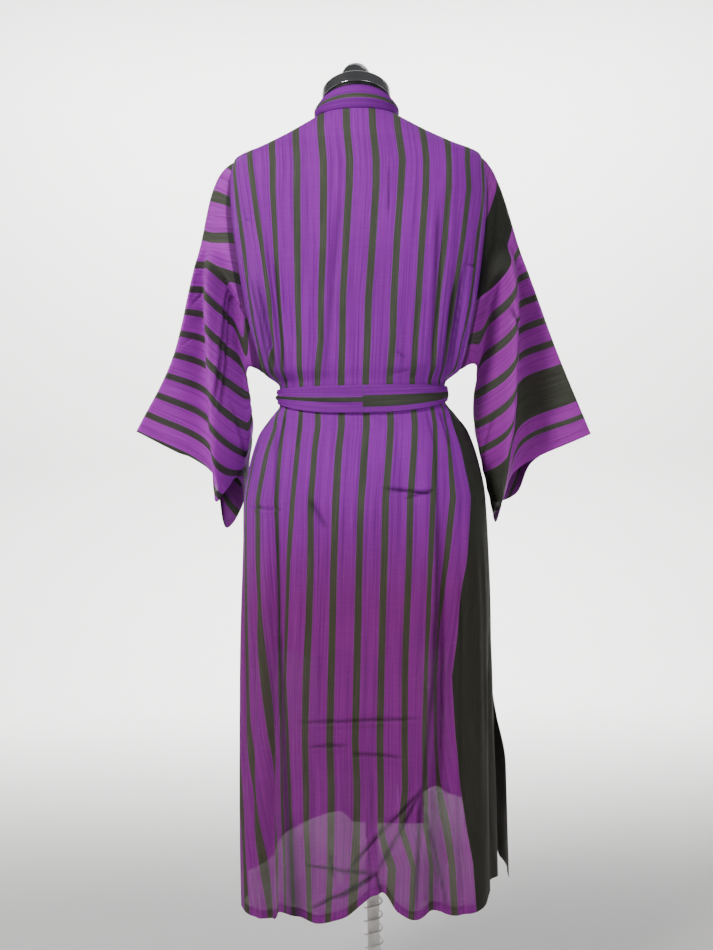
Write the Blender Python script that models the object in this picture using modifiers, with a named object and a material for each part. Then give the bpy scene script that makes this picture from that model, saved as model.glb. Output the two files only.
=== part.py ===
"""Kimono robe worn by a limbless dress form on a pole stand.

Metres, +Z up. The front of the robe faces -Y and the wearer's left is +X. The origin is
the middle of the stand's underside. Cloth panels are walls worked out from one table of
body sections, so panels that are sewn together meet along the same line.
"""

import math

import bmesh
import bpy
import numpy as np
from mathutils import Matrix, Vector

# Cloth and seams
CLOTH = 0.0016
DOUBLE_CLOTH = 0.0028
SEAM_GAP = 0.0003
BAND_GAP = 0.0009
BAND_WIDTH = 0.045
UNDER_DEPTH = 0.0045

# Heights that the cut follows
NECK_HEIGHT = 1.514
NECK_HALF_WIDTH = 0.066
SHOULDER_HEIGHT = 1.442
SHOULDER_HALF_WIDTH = 0.205
YOKE_HEIGHT = 1.400
ARMPIT_HEIGHT = 1.090
WAIST_HEIGHT = 1.040
SLIT_HEIGHT = 0.530

# Half the cut width of the back, and the cut width of one front below the waist
HALF_BACK = 0.295
FRONT_WIDTH = 0.335

# Rows of each panel: the yoke's, then those between the heights where the cloth changes
YOKE_WAYS = (np.arange(6) / 6) ** 2
ROW_STOPS = (YOKE_HEIGHT, 1.150, ARMPIT_HEIGHT, 1.068, 1.0175, 0.920)
ROW_COUNTS = (4, 2, 1, 3, 3)
LOWER_ROWS = 8

# The body: a row for each horizontal section of the worn cloth, from hem to neck
SECTION_COLUMNS = ("height", "half_width", "back", "front", "squareness")
BODY_SECTIONS = (
    (0.200, 0.207, 0.160, 0.162, 3.2),
    (0.570, 0.204, 0.153, 0.149, 3.2),
    (0.760, 0.202, 0.148, 0.140, 3.1),
    (0.880, 0.199, 0.142, 0.132, 3.0),
    (0.936, 0.189, 0.133, 0.124, 2.8),
    (0.985, 0.172, 0.119, 0.113, 2.6),
    (1.016, 0.153, 0.104, 0.103, 2.4),
    (1.040, 0.137, 0.102, 0.100, 2.3),
    (1.068, 0.1375, 0.1025, 0.1005, 2.3),
    (1.092, 0.162, 0.109, 0.107, 2.5),
    (1.130, 0.176, 0.113, 0.114, 2.7),
    (1.200, 0.192, 0.117, 0.122, 2.9),
    (1.280, 0.204, 0.120, 0.124, 3.0),
    (1.360, 0.212, 0.117, 0.111, 3.0),
    (1.400, 0.213, 0.112, 0.101, 2.9),
    (1.442, 0.205, 0.100, 0.087, 2.5),
    (1.464, 0.161, 0.092, 0.078, 2.2),
    (1.486, 0.117, 0.082, 0.068, 2.0),
    (1.514, 0.066, 0.0625, 0.052, 2.0),
)

# The dress form: the same kind of rows, from its foot to where its neck begins
TORSO_SECTIONS = (
    (0.636, 0.158, 0.108, 0.104, 2.3),
    (0.760, 0.166, 0.118, 0.108, 2.3),
    (0.880, 0.166, 0.116, 0.106, 2.3),
    (0.960, 0.150, 0.102, 0.098, 2.3),
    (1.040, 0.126, 0.090, 0.087, 2.3),
    (1.130, 0.143, 0.100, 0.100, 2.4),
    (1.220, 0.160, 0.109, 0.111, 2.5),
    (1.290, 0.171, 0.112, 0.111, 2.6),
    (1.360, 0.184, 0.111, 0.101, 2.7),
    (1.400, 0.188, 0.107, 0.094, 2.6),
    (1.442, 0.180, 0.0975, 0.084, 2.4),
    (1.464, 0.150, 0.0895, 0.075, 2.2),
    (1.486, 0.106, 0.0790, 0.065, 2.0),
)

# The over front's seam with its band: distance from the centre front, towards its own side
FRONT_EDGE_COLUMNS = ("height", "seam")
FRONT_EDGE = (
    (0.200, -0.050),
    (0.600, -0.045),
    (0.950, -0.040),
    (1.040, -0.034),
    (1.120, -0.010),
    (1.200, 0.024),
    (1.300, 0.056),
    (1.400, 0.080),
)

# Small pleats beside the belt, between two shares of the way to the side seam
PLEAT_DEPTH = 0.0034
PLEAT_COUNT = 4.5
PLEATS_START = 0.30
PLEATS_FULL = 0.60
SIDE_SEAM_EASE = 0.90

# Hems: height across the panel, from the side seam to the panel's far edge or middle
HEM_COLUMNS = ("across", "height")
BACK_HEM = (
    (-1.00, 0.246),
    (-0.60, 0.232),
    (-0.20, 0.236),
    (-0.02, 0.254),
    (0.12, 0.236),
    (0.55, 0.232),
    (0.66, 0.244),
    (0.80, 0.224),
    (1.00, 0.232),
)
FRONT_HEM = ((0.00, 0.330), (0.45, 0.292), (1.00, 0.243))

# Folds in the body: where each runs across the panel, from its top to its foot, and how
# far it sinks (negative) or stands out. Across is 0 at the panel's middle line.
FOLD_COLUMNS = ("across_top", "across_foot", "top", "foot", "depth", "half_width")
BACK_FOLDS = (
    (0.47, 0.62, 0.990, 0.150, -0.024, 0.065),
    (-0.47, -0.30, 0.990, 0.150, -0.022, 0.055),
    (0.33, 0.40, 0.900, 0.150, 0.009, 0.090),
    (-0.60, -0.52, 0.960, 0.150, 0.010, 0.080),
    (0.80, 0.84, 0.900, 0.150, 0.010, 0.090),
    (-0.80, -0.74, 0.800, 0.150, -0.012, 0.080),
    (-0.02, -0.02, 0.620, 0.150, -0.010, 0.110),
    (0.62, 0.50, 1.330, 1.075, -0.004, 0.060),
    (-0.62, -0.52, 1.330, 1.075, -0.004, 0.060),
    (0.74, 0.66, 1.300, 1.075, 0.006, 0.070),
    (-0.74, -0.66, 1.300, 1.075, 0.006, 0.070),
    (0.18, 0.14, 1.250, 1.075, 0.003, 0.090),
    (-0.20, -0.14, 1.250, 1.075, 0.003, 0.090),
)
FRONT_FOLDS = (
    (0.66, 0.70, 0.990, 0.150, -0.018, 0.075),
    (0.84, 0.87, 0.900, 0.150, 0.009, 0.080),
    (0.66, 0.62, 1.300, 1.075, 0.006, 0.080),
)

# Folds shared by both fronts where one lies on the other, by distance from the centre
CENTRE_FOLDS = (
    (0.030, 0.045, 0.960, 0.150, 0.008, 0.050),
    (-0.050, -0.060, 0.900, 0.150, -0.006, 0.045),
)

# The neckband's free edge, a ring round the neck that is highest behind, and how far its seam
# edge stays clear of the panels where it stands up from them
BAND_TOP_RADIUS = 0.0615
BAND_TOP_CENTRE = -0.001
BAND_TOP_DEPTH = 0.0625
BAND_TOP_SIDE = 1.539
BAND_TOP_BACK = 1.553
BAND_SEAM_CLEAR = (-0.0017, 0.0018)
BAND_EDGE_BOW = (0.006, -0.018, 0.010)
BAND_MIDDLE_BOW = (0.006, -0.004, 0.0)

# Half the width that both fronts share at the centre, and where that fades out
CROSSING_HALF_WIDTH = 0.098
CROSSING_FADE = 0.037

# The slits at the foot of the side seams, and how far each front's edge swings out there
SLIT_OPENING = 0.004
FLAP_SWING_LEFT = 0.007
FLAP_SWING_RIGHT = 0.021

# Sleeves: a line along the sleeve for each fold, from armhole to cuff. Around is the share
# of the way round from the top crease over the back. Each line passes three points, a third
# and two thirds of the way down and at the cuff: out from the centre, towards the back, up.
SLEEVE_COLUMNS = ("around", "upper", "lower", "cuff")
SLEEVE_LINES_LEFT = {
    "top_crease": (0.00, (0.268, 0.000, 1.290), (0.312, 0.000, 1.122), (0.376, 0.000, 0.998)),
    "outer_valley": (0.20, (0.256, 0.006, 1.290), (0.262, -0.026, 1.112), (0.262, -0.030, 0.934)),
    "back_ridge": (0.31, (0.246, 0.062, 1.262), (0.249, 0.062, 1.060), (0.243, 0.046, 0.880)),
    "inner_turn": (0.42, (0.219, 0.036, 1.205), (0.190, 0.012, 0.990), (0.214, 0.010, 0.919)),
    "underarm": (0.50, (0.192, -0.012, 1.100), (0.186, -0.030, 1.010), (0.206, -0.034, 0.905)),
    "front_turn": (0.59, (0.206, -0.075, 1.160), (0.196, -0.086, 0.990), (0.209, -0.068, 0.870)),
    "front_low": (0.71, (0.237, -0.104, 1.240), (0.240, -0.106, 1.040), (0.241, -0.086, 0.834)),
    "front_outer": (0.87, (0.262, -0.060, 1.290), (0.290, -0.062, 1.090), (0.318, -0.056, 0.926)),
}
SLEEVE_LINES_RIGHT = {
    "top_crease": (0.00, (0.271, 0.000, 1.272), (0.322, 0.000, 1.120), (0.377, 0.000, 0.979)),
    "outer_valley": (0.20, (0.258, 0.006, 1.274), (0.263, -0.026, 1.104), (0.262, -0.028, 0.926)),
    "back_ridge": (0.31, (0.247, 0.062, 1.246), (0.248, 0.060, 1.050), (0.224, 0.044, 0.868)),
    "inner_turn": (0.42, (0.218, 0.036, 1.190), (0.188, 0.012, 1.000), (0.216, 0.012, 0.836)),
    "underarm": (0.50, (0.192, -0.012, 1.095), (0.186, -0.030, 1.010), (0.214, -0.030, 0.876)),
    "front_turn": (0.59, (0.206, -0.075, 1.160), (0.200, -0.084, 0.990), (0.226, -0.062, 0.868)),
    "front_low": (0.71, (0.237, -0.102, 1.236), (0.246, -0.104, 1.040), (0.264, -0.082, 0.884)),
    "front_outer": (0.87, (0.263, -0.058, 1.280), (0.296, -0.060, 1.090), (0.322, -0.054, 0.922)),
}
SLEEVE_TOP_ROWS = (0, 0.04, 0.09, 0.15, 0.22)
SLEEVE_FOLDS = (0.20, 0.31)
FOLD_REACH = 0.012
CREASE_REACH = 0.0085
CREASE_WIDTH = 0.0072
UNDERARM_ROWS = (1.105, 1.094)
ARMHOLE_OPENING = math.radians(12)
SHOULDER_CLEARANCE = 0.0011
ARMHOLE_CLEARANCE = 0.0026

# The belt: its edges behind, at the sides and in front
BELT_TOP = 1.0620
BELT_LOW_BACK = 1.0175
BELT_LOW_SIDE = 1.0400
BELT_LOW_FRONT = 1.0200
BELT_STAND_OFF = 0.0040
BELT_BULGE = 0.0012
KNOT_SIZE = (0.052, 0.028, 0.054)
KNOT_GAP = 0.0002
TAIL_WIDTH = 0.038
TAIL_TOP_WIDTH = 0.020
TAIL_STAND = 0.0034
TAIL_TOP_STAND = 0.014
TAIL_COLUMNS = ("name", "arc_top", "arc_foot", "top", "foot", "sway")
BELT_TAILS = (
    ("belt_tail_left", 0.0115, 0.050, 1.0115, 0.600, 0.006),
    ("belt_tail_right", -0.0115, -0.018, 1.0115, 0.640, -0.005),
)

# The neck cap and the stand
NECK_TILT = math.radians(26)
NECK_TOP = Vector((0, 0.0051, 1.531))
NECK_RADIUS = 0.0520
NECK_RING_RADIUS = 0.0550
NECK_RING_THICKNESS = 0.004
CAP_RADIUS = 0.0578
CAP_THICKNESS = 0.019
CAP_DOME = 0.011
FINIAL_RADIUS = 0.0243
FINIAL_CENTRE = 0.0615
FINIAL_STEM_RADIUS = 0.0110
POLE_RADIUS = 0.0100
BASE_RADIUS = 0.170
BASE_THICKNESS = 0.012
BOSS_HEIGHT = 0.030
BOSS_RADIUS = 0.022
FLANGE_HEIGHT = 0.020
FLANGE_RADIUS = 0.034
COLLAR_RADIUS = 0.016
TORSO_FOOT = TORSO_SECTIONS[0][0]
SPIRAL_WIRE = 0.0015
SPIRAL_RADIUS = 0.0148
SPIRAL_PITCH = 0.022
SPIRAL_TURNS = 9
SPIRAL_SEGMENTS = 10
SPIRAL_SEAT = 0.0123
SPIRAL_FOOT = 0.045


def make_material(name, colour, roughness, metallic=0.0):
    """A Principled material of one colour."""
    material = bpy.data.materials.new(name)
    material.use_nodes = True
    shader = material.node_tree.nodes["Principled BSDF"]
    shader.inputs["Base Color"].default_value = (*colour, 1)
    shader.inputs["Roughness"].default_value = roughness
    shader.inputs["Metallic"].default_value = metallic
    return material


def column(rows, names, name):
    """One named column of a table, as an array."""
    return np.array([row[names.index(name)] for row in rows], float)


def monotone(x, known_x, known_y):
    """A smooth curve through the rows that never overshoots them."""
    x = np.clip(x, known_x[0], known_x[-1])
    step = np.diff(known_x)
    slope = np.diff(known_y) / step
    product = slope[:-1] * slope[1:]
    total = np.where(product > 0, slope[:-1] + slope[1:], 1)
    middle = np.where(product > 0, 2 * product / total, 0)
    tangent = np.concatenate([slope[:1], middle, slope[-1:]])
    i = np.clip(np.searchsorted(known_x, x) - 1, 0, len(step) - 1)
    t = (x - known_x[i]) / step[i]
    rise = 3 * t**2 - 2 * t**3
    start = (t**3 - 2 * t**2 + t) * step[i] * tangent[i]
    end = (t**3 - t**2) * step[i] * tangent[i + 1]
    return (1 - rise) * known_y[i] + rise * known_y[i + 1] + start + end


def smooth_step(x, low, high):
    """0 below low, 1 above high, and an even S between."""
    t = np.clip((x - low) / (high - low), 0, 1)
    return t * t * (3 - 2 * t)


def section(height, rows=BODY_SECTIONS, names=SECTION_COLUMNS):
    """The named sizes of the section at each height."""
    heights = column(rows, names, "height")
    return {name: monotone(height, heights, column(rows, names, name)) for name in names[1:]}


def ring_point(size, turn):
    """A point on a section. Turn is 0 at the centre back, and grows towards the left side."""
    across, along = np.sin(turn), np.cos(turn)
    power = 2 / size["squareness"]
    depth = np.where(along > 0, size["back"], size["front"])
    x = size["half_width"] * np.sign(across) * np.abs(across) ** power
    y = depth * np.sign(along) * np.abs(along) ** power
    return x, y


def depth_at(size, x, facing):
    """How far behind (facing 1) or in front (facing -1) the section lies at x."""
    share = np.clip(np.abs(x) / size["half_width"], 0, 1)
    depth = size["back"] if facing > 0 else size["front"]
    return facing * depth * (1 - share ** size["squareness"]) ** (1 / size["squareness"])


def arc_table(height):
    """Turns from the centre back past the centre front, and the arc length to each."""
    turn = np.linspace(0, 1.35 * math.pi, 700)
    x, y = ring_point(section(height), turn)
    steps = np.hypot(np.diff(x), np.diff(y))
    return turn, np.concatenate([[0], np.cumsum(steps)])


def armhole_turn(height):
    """The turn at which a panel ends: the side seam, or the armhole's edge above it."""
    rise = np.clip((height - ARMPIT_HEIGHT) / 0.12, 0, 1)
    return math.pi / 2 - ARMHOLE_OPENING * np.sqrt(np.sin(rise * math.pi / 2))


def gathered(share, fullness):
    """Where a share of the cloth lies on the section: even in the middle, gathered at the side."""
    return share * fullness / (1 + (fullness - 1) * share**2)


def fold_depth(share, height, folds):
    """How far the cloth stands out of the section, as the sum of its folds."""
    total = np.zeros(np.broadcast(share, height).shape)
    for across_top, across_foot, top, foot, depth, half_width in folds:
        way = np.clip((top - height) / (top - foot), 0, 1)
        middle = across_top + (across_foot - across_top) * way
        if foot < ARMPIT_HEIGHT - 0.1:
            strength = smooth_step(way, 0.0, 0.55)
        else:
            strength = np.sin(math.pi * smooth_step(top - height, 0, top - foot))
        spread = half_width * (0.6 + 0.4 * way)
        total = total + depth * strength * np.exp(-(((share - middle) / spread) ** 2))
    return total


def gather_pleats(share, height):
    """Small pleats that fan out above and below the belt, towards the sides."""
    share = np.abs(share)
    above = np.exp(-(np.clip(height - BELT_TOP, 0, None) / 0.060) ** 2)
    below = np.exp(-(np.clip(BELT_LOW_SIDE - height, 0, None) / 0.070) ** 2)
    at_side = smooth_step(share, PLEATS_START, PLEATS_FULL)
    at_side = at_side * (1 - smooth_step(share, SIDE_SEAM_EASE, 1.0))
    free = smooth_step(height - BELT_TOP, 0, 0.03) + smooth_step(BELT_LOW_BACK - height, 0, 0.03)
    wave = np.cos(2 * math.pi * PLEAT_COUNT * share)
    return PLEAT_DEPTH * free * above * below * at_side * wave


def moved_out(size, x, y, distance):
    """Points moved outwards from a section by a distance."""
    power = size["squareness"] - 1
    depth = np.where(y > 0, size["back"], size["front"])
    nx = np.sign(x) * (np.abs(x) / size["half_width"]) ** power / size["half_width"]
    ny = np.sign(y) * (np.abs(y) / depth) ** power / depth
    length = np.hypot(nx, ny) + 1e-12
    return x + distance * nx / length, y + distance * ny / length


def row_heights(hem):
    """Heights of a panel's rows below the yoke, a column for each hem height.

    They are level down to the hips and closer round the belt, where the cloth is drawn in."""
    upper = [np.linspace(a, b, n, endpoint=False) for a, b, n in zip(ROW_STOPS, ROW_STOPS[1:], ROW_COUNTS)]
    upper = np.concatenate(upper)[:, None] + np.zeros(len(hem))
    way = np.linspace(0, 1, LOWER_ROWS + 1)[:, None]
    return np.concatenate([upper, ROW_STOPS[-1] + (hem - ROW_STOPS[-1]) * way])


def body_panel(shares, hem, turn_of, stand_of, facing, top_x):
    """The points of a back or front panel, a row for each level, from the shoulder seam down.

    shares run across the panel. turn_of gives where a share lies on the section at a height,
    stand_of how far it stands out there, and top_x is where it meets the shoulder seam."""
    rows = []
    for height in row_heights(hem):
        turn = turn_of(shares, height)
        size = section(height)
        x, y = ring_point(size, turn)
        x, y = moved_out(size, x, y, stand_of(shares, x, height))
        rows.append(np.stack([x, y, height], axis=1))
    lower = np.array(rows)
    ridge = np.linspace(SHOULDER_HEIGHT, NECK_HEIGHT, 400)
    top_z = np.interp(-np.abs(top_x), -section(ridge)["half_width"], ridge)
    upper = []
    for way in YOKE_WAYS:
        x = top_x + (lower[0, :, 0] - top_x) * way
        z = top_z + (YOKE_HEIGHT - top_z) * way
        upper.append(np.stack([x, depth_at(section(z), x, facing), z], axis=1))
    return np.concatenate([np.array(upper), lower])


def panel_stand(share, height, folds):
    """How far a panel's folds and pleats stand out, dying away at the yoke and the side seams."""
    stand = fold_depth(share, height, folds) + gather_pleats(share, height)
    below_yoke = 1 - smooth_step(height, YOKE_HEIGHT - 0.10, YOKE_HEIGHT - 0.01)
    inside_seam = 1 - 0.95 * smooth_step(np.abs(share), SIDE_SEAM_EASE, 1.0)
    return stand * below_yoke * inside_seam


def back_stand(share, x, height):
    """How far the back stands out of its section."""
    return panel_stand(share, height, BACK_FOLDS)


def centre_stand(x, height):
    """How far both fronts stand out where they cross, so that one lies flat on the other."""
    inside = 1 - smooth_step(np.abs(x), CROSSING_HALF_WIDTH, CROSSING_HALF_WIDTH + CROSSING_FADE)
    return fold_depth(x, height, CENTRE_FOLDS) * inside


def under_depth(own_x, height):
    """How far the under front and its band lie inside the over front."""
    crossing = 1 - smooth_step(own_x, CROSSING_HALF_WIDTH, CROSSING_HALF_WIDTH + CROSSING_FADE)
    return UNDER_DEPTH * crossing * smooth_step(1.34 - height, 0, 0.10)


def flap_swing(share, height, swing):
    """How far a front's side edge swings out beside its slit."""
    return swing * smooth_step(share, 0.72, 1.0) * smooth_step(SLIT_HEIGHT - height, -0.04, 0.10)


def over_front_stand(share, x, height):
    """How far the left front stands out of its section."""
    folds = panel_stand(share, height, FRONT_FOLDS) + centre_stand(x, height)
    return folds + flap_swing(share, height, FLAP_SWING_LEFT)


def under_front_stand(share, own_x, height):
    """How far the right front stands out of its section. It is worked out mirrored."""
    folds = panel_stand(share, height, FRONT_FOLDS) + centre_stand(-own_x, height)
    return folds + flap_swing(share, height, FLAP_SWING_RIGHT) - under_depth(own_x, height)


def back_turn(share, height):
    """The turn of a share of the back panel, from -1 at the right side to 1 at the left."""
    turns = []
    for one_share, one_height in zip(share, height):
        turn, arc = arc_table(one_height)
        side = np.interp(armhole_turn(one_height), turn, arc) - SEAM_GAP / 2
        side = side - SLIT_OPENING * smooth_step(SLIT_HEIGHT - one_height, 0, 0.25)
        place = side * gathered(one_share, max(HALF_BACK / side, 1.0))
        turns.append(np.sign(place) * np.interp(abs(place), arc, turn))
    return np.array(turns)


def front_turn(share, height):
    """The turn of a share of the left front, from 0 at its band to 1 at the side seam."""
    turns = []
    edge_height = column(FRONT_EDGE, FRONT_EDGE_COLUMNS, "height")
    edge_seam = column(FRONT_EDGE, FRONT_EDGE_COLUMNS, "seam")
    for one_share, one_height in zip(share, height):
        turn, arc = arc_table(one_height)
        centre = np.interp(math.pi, turn, arc)
        side = np.interp(math.pi - armhole_turn(one_height), turn, arc) + SEAM_GAP / 2
        seam = centre - monotone(one_height, edge_height, edge_seam) - BAND_GAP / 2
        side = side + SLIT_OPENING * smooth_step(SLIT_HEIGHT - one_height, 0, 0.25)
        span = seam - side
        cut = FRONT_WIDTH if one_height < ARMPIT_HEIGHT else span
        place = seam - span * gathered(one_share, max(cut / span, 1.0))
        turns.append(np.interp(place, arc, turn))
    return np.array(turns)


def grid_normals(grid, closed):
    """Unit normals of a grid of points, rows by columns."""
    edges = np.diff(grid, axis=1)
    edges = edges / (np.linalg.norm(edges, axis=2, keepdims=True) + 1e-12)
    before, after = (edges[:, -1:], edges[:, :1]) if closed else (edges[:, :1], edges[:, -1:])
    along = np.concatenate([before, edges], axis=1) + np.concatenate([edges, after], axis=1)
    down = np.gradient(grid, axis=0)
    normal = np.cross(along, down)
    return normal / (np.linalg.norm(normal, axis=2, keepdims=True) + 1e-12)


def mesh_object(name, points, faces, material):
    """A closed mesh object with its faces turned outwards."""
    mesh = bpy.data.meshes.new(name)
    mesh.from_pydata([tuple(p) for p in points], [], faces)
    shape = bmesh.new()
    shape.from_mesh(mesh)
    bmesh.ops.recalc_face_normals(shape, faces=shape.faces)
    shape.to_mesh(mesh)
    shape.free()
    mesh.materials.append(material)
    mesh.shade_smooth()
    thing = bpy.data.objects.new(name, mesh)
    parts.objects.link(thing)
    return thing


def wall(name, grid, thickness, material, closed=False):
    """A cloth wall: the grid moved half its thickness to each side, and closed at its edges.

    A closed grid repeats its first column as its last."""
    normals = grid_normals(grid, closed)
    if closed:
        grid, normals = grid[:, :-1], normals[:, :-1]
    rows, columns = grid.shape[:2]
    points = np.concatenate([grid + normals * thickness / 2, grid - normals * thickness / 2])
    points = points.reshape(-1, 3)
    inner = rows * columns
    across = columns if closed else columns - 1
    faces = []
    for r in range(rows - 1):
        for c in range(across):
            a, b = r * columns + c, r * columns + (c + 1) % columns
            faces.append((a, b, b + columns, a + columns))
            faces.append((inner + a, inner + a + columns, inner + b + columns, inner + b))
    for c in range(across):
        for r in (0, rows - 1):
            a, b = r * columns + c, r * columns + (c + 1) % columns
            faces.append((a, inner + a, inner + b, b))
    if not closed:
        for r in range(rows - 1):
            for c in (0, columns - 1):
                a = r * columns + c
                faces.append((a, a + columns, inner + a + columns, inner + a))
    return mesh_object(name, points, faces, material)


def mirrored(grid):
    """The same points on the wearer's other side."""
    return grid * np.array([-1, 1, 1])


def build_back(material):
    """The back, cut in one piece from shoulder seams to hem."""
    neck = NECK_HALF_WIDTH / SHOULDER_HALF_WIDTH
    edge = np.linspace(neck, 1.0, 14)[1:]
    middle = neck * np.sin(np.linspace(-1, 1, 9) * math.pi / 2)
    shares = np.concatenate([-edge[::-1], middle, edge])
    across = column(BACK_HEM, HEM_COLUMNS, "across")
    hem = monotone(shares, across, column(BACK_HEM, HEM_COLUMNS, "height"))
    grid = body_panel(shares, hem, back_turn, back_stand, 1, shares * SHOULDER_HALF_WIDTH)
    neck_lift = smooth_step(grid[0, :, 2], NECK_HEIGHT - 0.004, NECK_HEIGHT)
    grid[0, :, 2] -= SEAM_GAP * neck_lift
    grid[0, :, 1] += SEAM_GAP
    wall("back_panel", grid, CLOTH, material)


def front_grid(stand_of):
    """The points of a front on the left side: the over one, or the under one's mirror image."""
    shares = np.concatenate([np.linspace(0, 0.40, 6)[:-1], np.linspace(0.40, 1.0, 11)])
    across = column(FRONT_HEM, HEM_COLUMNS, "across")
    hem = monotone(shares, across, column(FRONT_HEM, HEM_COLUMNS, "height"))
    top_x = NECK_HALF_WIDTH + (SHOULDER_HALF_WIDTH - NECK_HALF_WIDTH) * shares
    grid = body_panel(shares, hem, front_turn, stand_of, -1, top_x)
    grid[0, :, 1] -= SEAM_GAP
    return grid


def front_line(heights, offsets, stand_of):
    """Points down the front, each at a distance past the centre towards the left side.

    stand_of gives how far a point at x and a height stands out."""
    points = []
    for height, offset in zip(heights, offsets):
        turn, arc = arc_table(height)
        place = np.interp(math.pi, turn, arc) - offset
        size = section(height)
        x, y = ring_point(size, np.interp(place, arc, turn))
        x, y = moved_out(size, x, y, stand_of(x, height))
        points.append((float(x), float(y), height))
    return np.array(points)


def under_band_stand(own_x, height):
    """How far the right front's band stands out, worked out mirrored."""
    return centre_stand(-own_x, height) - under_depth(own_x, height)


def band_front(stand_of):
    """The left front's band from neck to hem, as rows of points from seam to free edge."""
    heights = row_heights(np.array([FRONT_HEM[0][1]]))[:, 0]
    seam = monotone(heights, column(FRONT_EDGE, FRONT_EDGE_COLUMNS, "height"),
                    column(FRONT_EDGE, FRONT_EDGE_COLUMNS, "seam"))
    across = (BAND_GAP / 2, BAND_WIDTH / 2, BAND_WIDTH)
    lower = np.array([front_line(heights, seam - offset, stand_of) for offset in across])
    lower = lower.transpose(1, 0, 2)
    way = YOKE_WAYS
    seam_x = NECK_HALF_WIDTH + (lower[0, 0, 0] - NECK_HALF_WIDTH) * way
    seam_z = NECK_HEIGHT + (YOKE_HEIGHT - NECK_HEIGHT) * way
    seam_y = depth_at(section(seam_z), seam_x, -1)
    seam_y[0] = -BAND_GAP / 2
    clear_x, clear_z = BAND_SEAM_CLEAR
    seam_line = np.stack([seam_x, seam_y, seam_z], axis=1)
    seam_line = seam_line + np.array([clear_x, 0, clear_z]) * np.sqrt(1 - way)[:, None]
    free_start = np.array([BAND_TOP_RADIUS, BAND_TOP_CENTRE, BAND_TOP_SIDE])
    free_end = lower[0, 2]
    way = way[:, None]
    bow = np.array(BAND_EDGE_BOW) * np.sin(math.pi * way)
    free_line = free_start + (free_end - free_start) * way + bow
    middle = (seam_line + free_line) / 2 + np.array(BAND_MIDDLE_BOW) * (1 - way)
    return np.concatenate([np.stack([seam_line, middle, free_line], axis=1), lower])


def band_back(join):
    """The band round the back of the neck, standing on the neckline seam."""
    turn = np.linspace(math.pi / 2, -math.pi / 2, 17)[1:-1]
    behind = np.cos(turn)
    size = section(np.full_like(turn, NECK_HEIGHT))
    x, y = ring_point(size, turn)
    clear_x, clear_z = BAND_SEAM_CLEAR
    seam_z = np.full_like(turn, NECK_HEIGHT + clear_z)
    seam = np.stack([x + clear_x * np.sin(turn), y, seam_z], axis=1)
    free_x = BAND_TOP_RADIUS * np.sin(turn)
    free_y = BAND_TOP_CENTRE + BAND_TOP_DEPTH * behind
    free_z = BAND_TOP_SIDE + (BAND_TOP_BACK - BAND_TOP_SIDE) * behind
    free = np.stack([free_x, free_y, free_z], axis=1)
    bow = 0.006 - 0.003 * behind
    outward = np.stack([np.sin(turn), behind, np.zeros_like(turn)], axis=1)
    middle = (seam + free) / 2 + outward * bow[:, None]
    rows = np.stack([seam, middle, free], axis=1)
    first = join + np.array([0, BAND_GAP, 0])
    last = mirrored(join) + np.array([0, BAND_GAP, 0])
    return np.concatenate([first[None], rows, last[None]])


def build_fronts(cloth, band_cloth):
    """Both fronts and the band that edges them, the left over the right."""
    wall("front_panel_left", front_grid(over_front_stand), CLOTH, cloth)
    wall("front_panel_right", mirrored(front_grid(under_front_stand)), CLOTH, cloth)
    left, right = band_front(centre_stand), band_front(under_band_stand)
    wall("neckband_left", left, DOUBLE_CLOTH, band_cloth)
    wall("neckband_right", mirrored(right), DOUBLE_CLOTH, band_cloth)
    wall("neckband_back", band_back(left[0]), DOUBLE_CLOTH, band_cloth)


def armhole_table():
    """The left armhole as a fine line with its shares, from the shoulder, round by the back."""
    heights = np.linspace(SHOULDER_HEIGHT, ARMPIT_HEIGHT, 160)
    size = section(heights)
    end_turn = armhole_turn(heights)
    ring_x = ring_point(size, end_turn)[0]
    yoke_x = ring_point(section(YOKE_HEIGHT), armhole_turn(YOKE_HEIGHT))[0]
    way = (SHOULDER_HEIGHT - heights) / (SHOULDER_HEIGHT - YOKE_HEIGHT)
    over_x = SHOULDER_HALF_WIDTH + (yoke_x - SHOULDER_HALF_WIDTH) * way
    x = np.where(heights > YOKE_HEIGHT, over_x, ring_x)
    behind = np.stack([x, depth_at(size, x, 1), heights], axis=1)
    before = np.stack([x, depth_at(size, x, -1), heights], axis=1)
    loop = np.concatenate([behind, before[::-1][1:]])
    steps = np.linalg.norm(np.diff(loop, axis=0), axis=1)
    share = np.concatenate([[0], np.cumsum(steps)])
    return loop, share / share[-1]


def armhole_loop(around):
    """Points of the left armhole, by their share of the way round."""
    loop, share = armhole_table()
    return np.stack([np.interp(around, share, loop[:, i]) for i in range(3)], axis=1)


def rounded_crease(known, values):
    """The points of a loop, with the first one replaced by the two sides of a round fold."""
    to_back = values[1] - values[0]
    to_front = values[-1] - values[0]
    apart = to_back / np.linalg.norm(to_back) - to_front / np.linalg.norm(to_front)
    apart = apart * CREASE_WIDTH / 2 / np.linalg.norm(apart)
    known = np.concatenate([[CREASE_REACH], known[1:], [1 - CREASE_REACH]])
    return known, np.concatenate([[values[0] + apart], values[1:], [values[0] - apart]])


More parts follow.
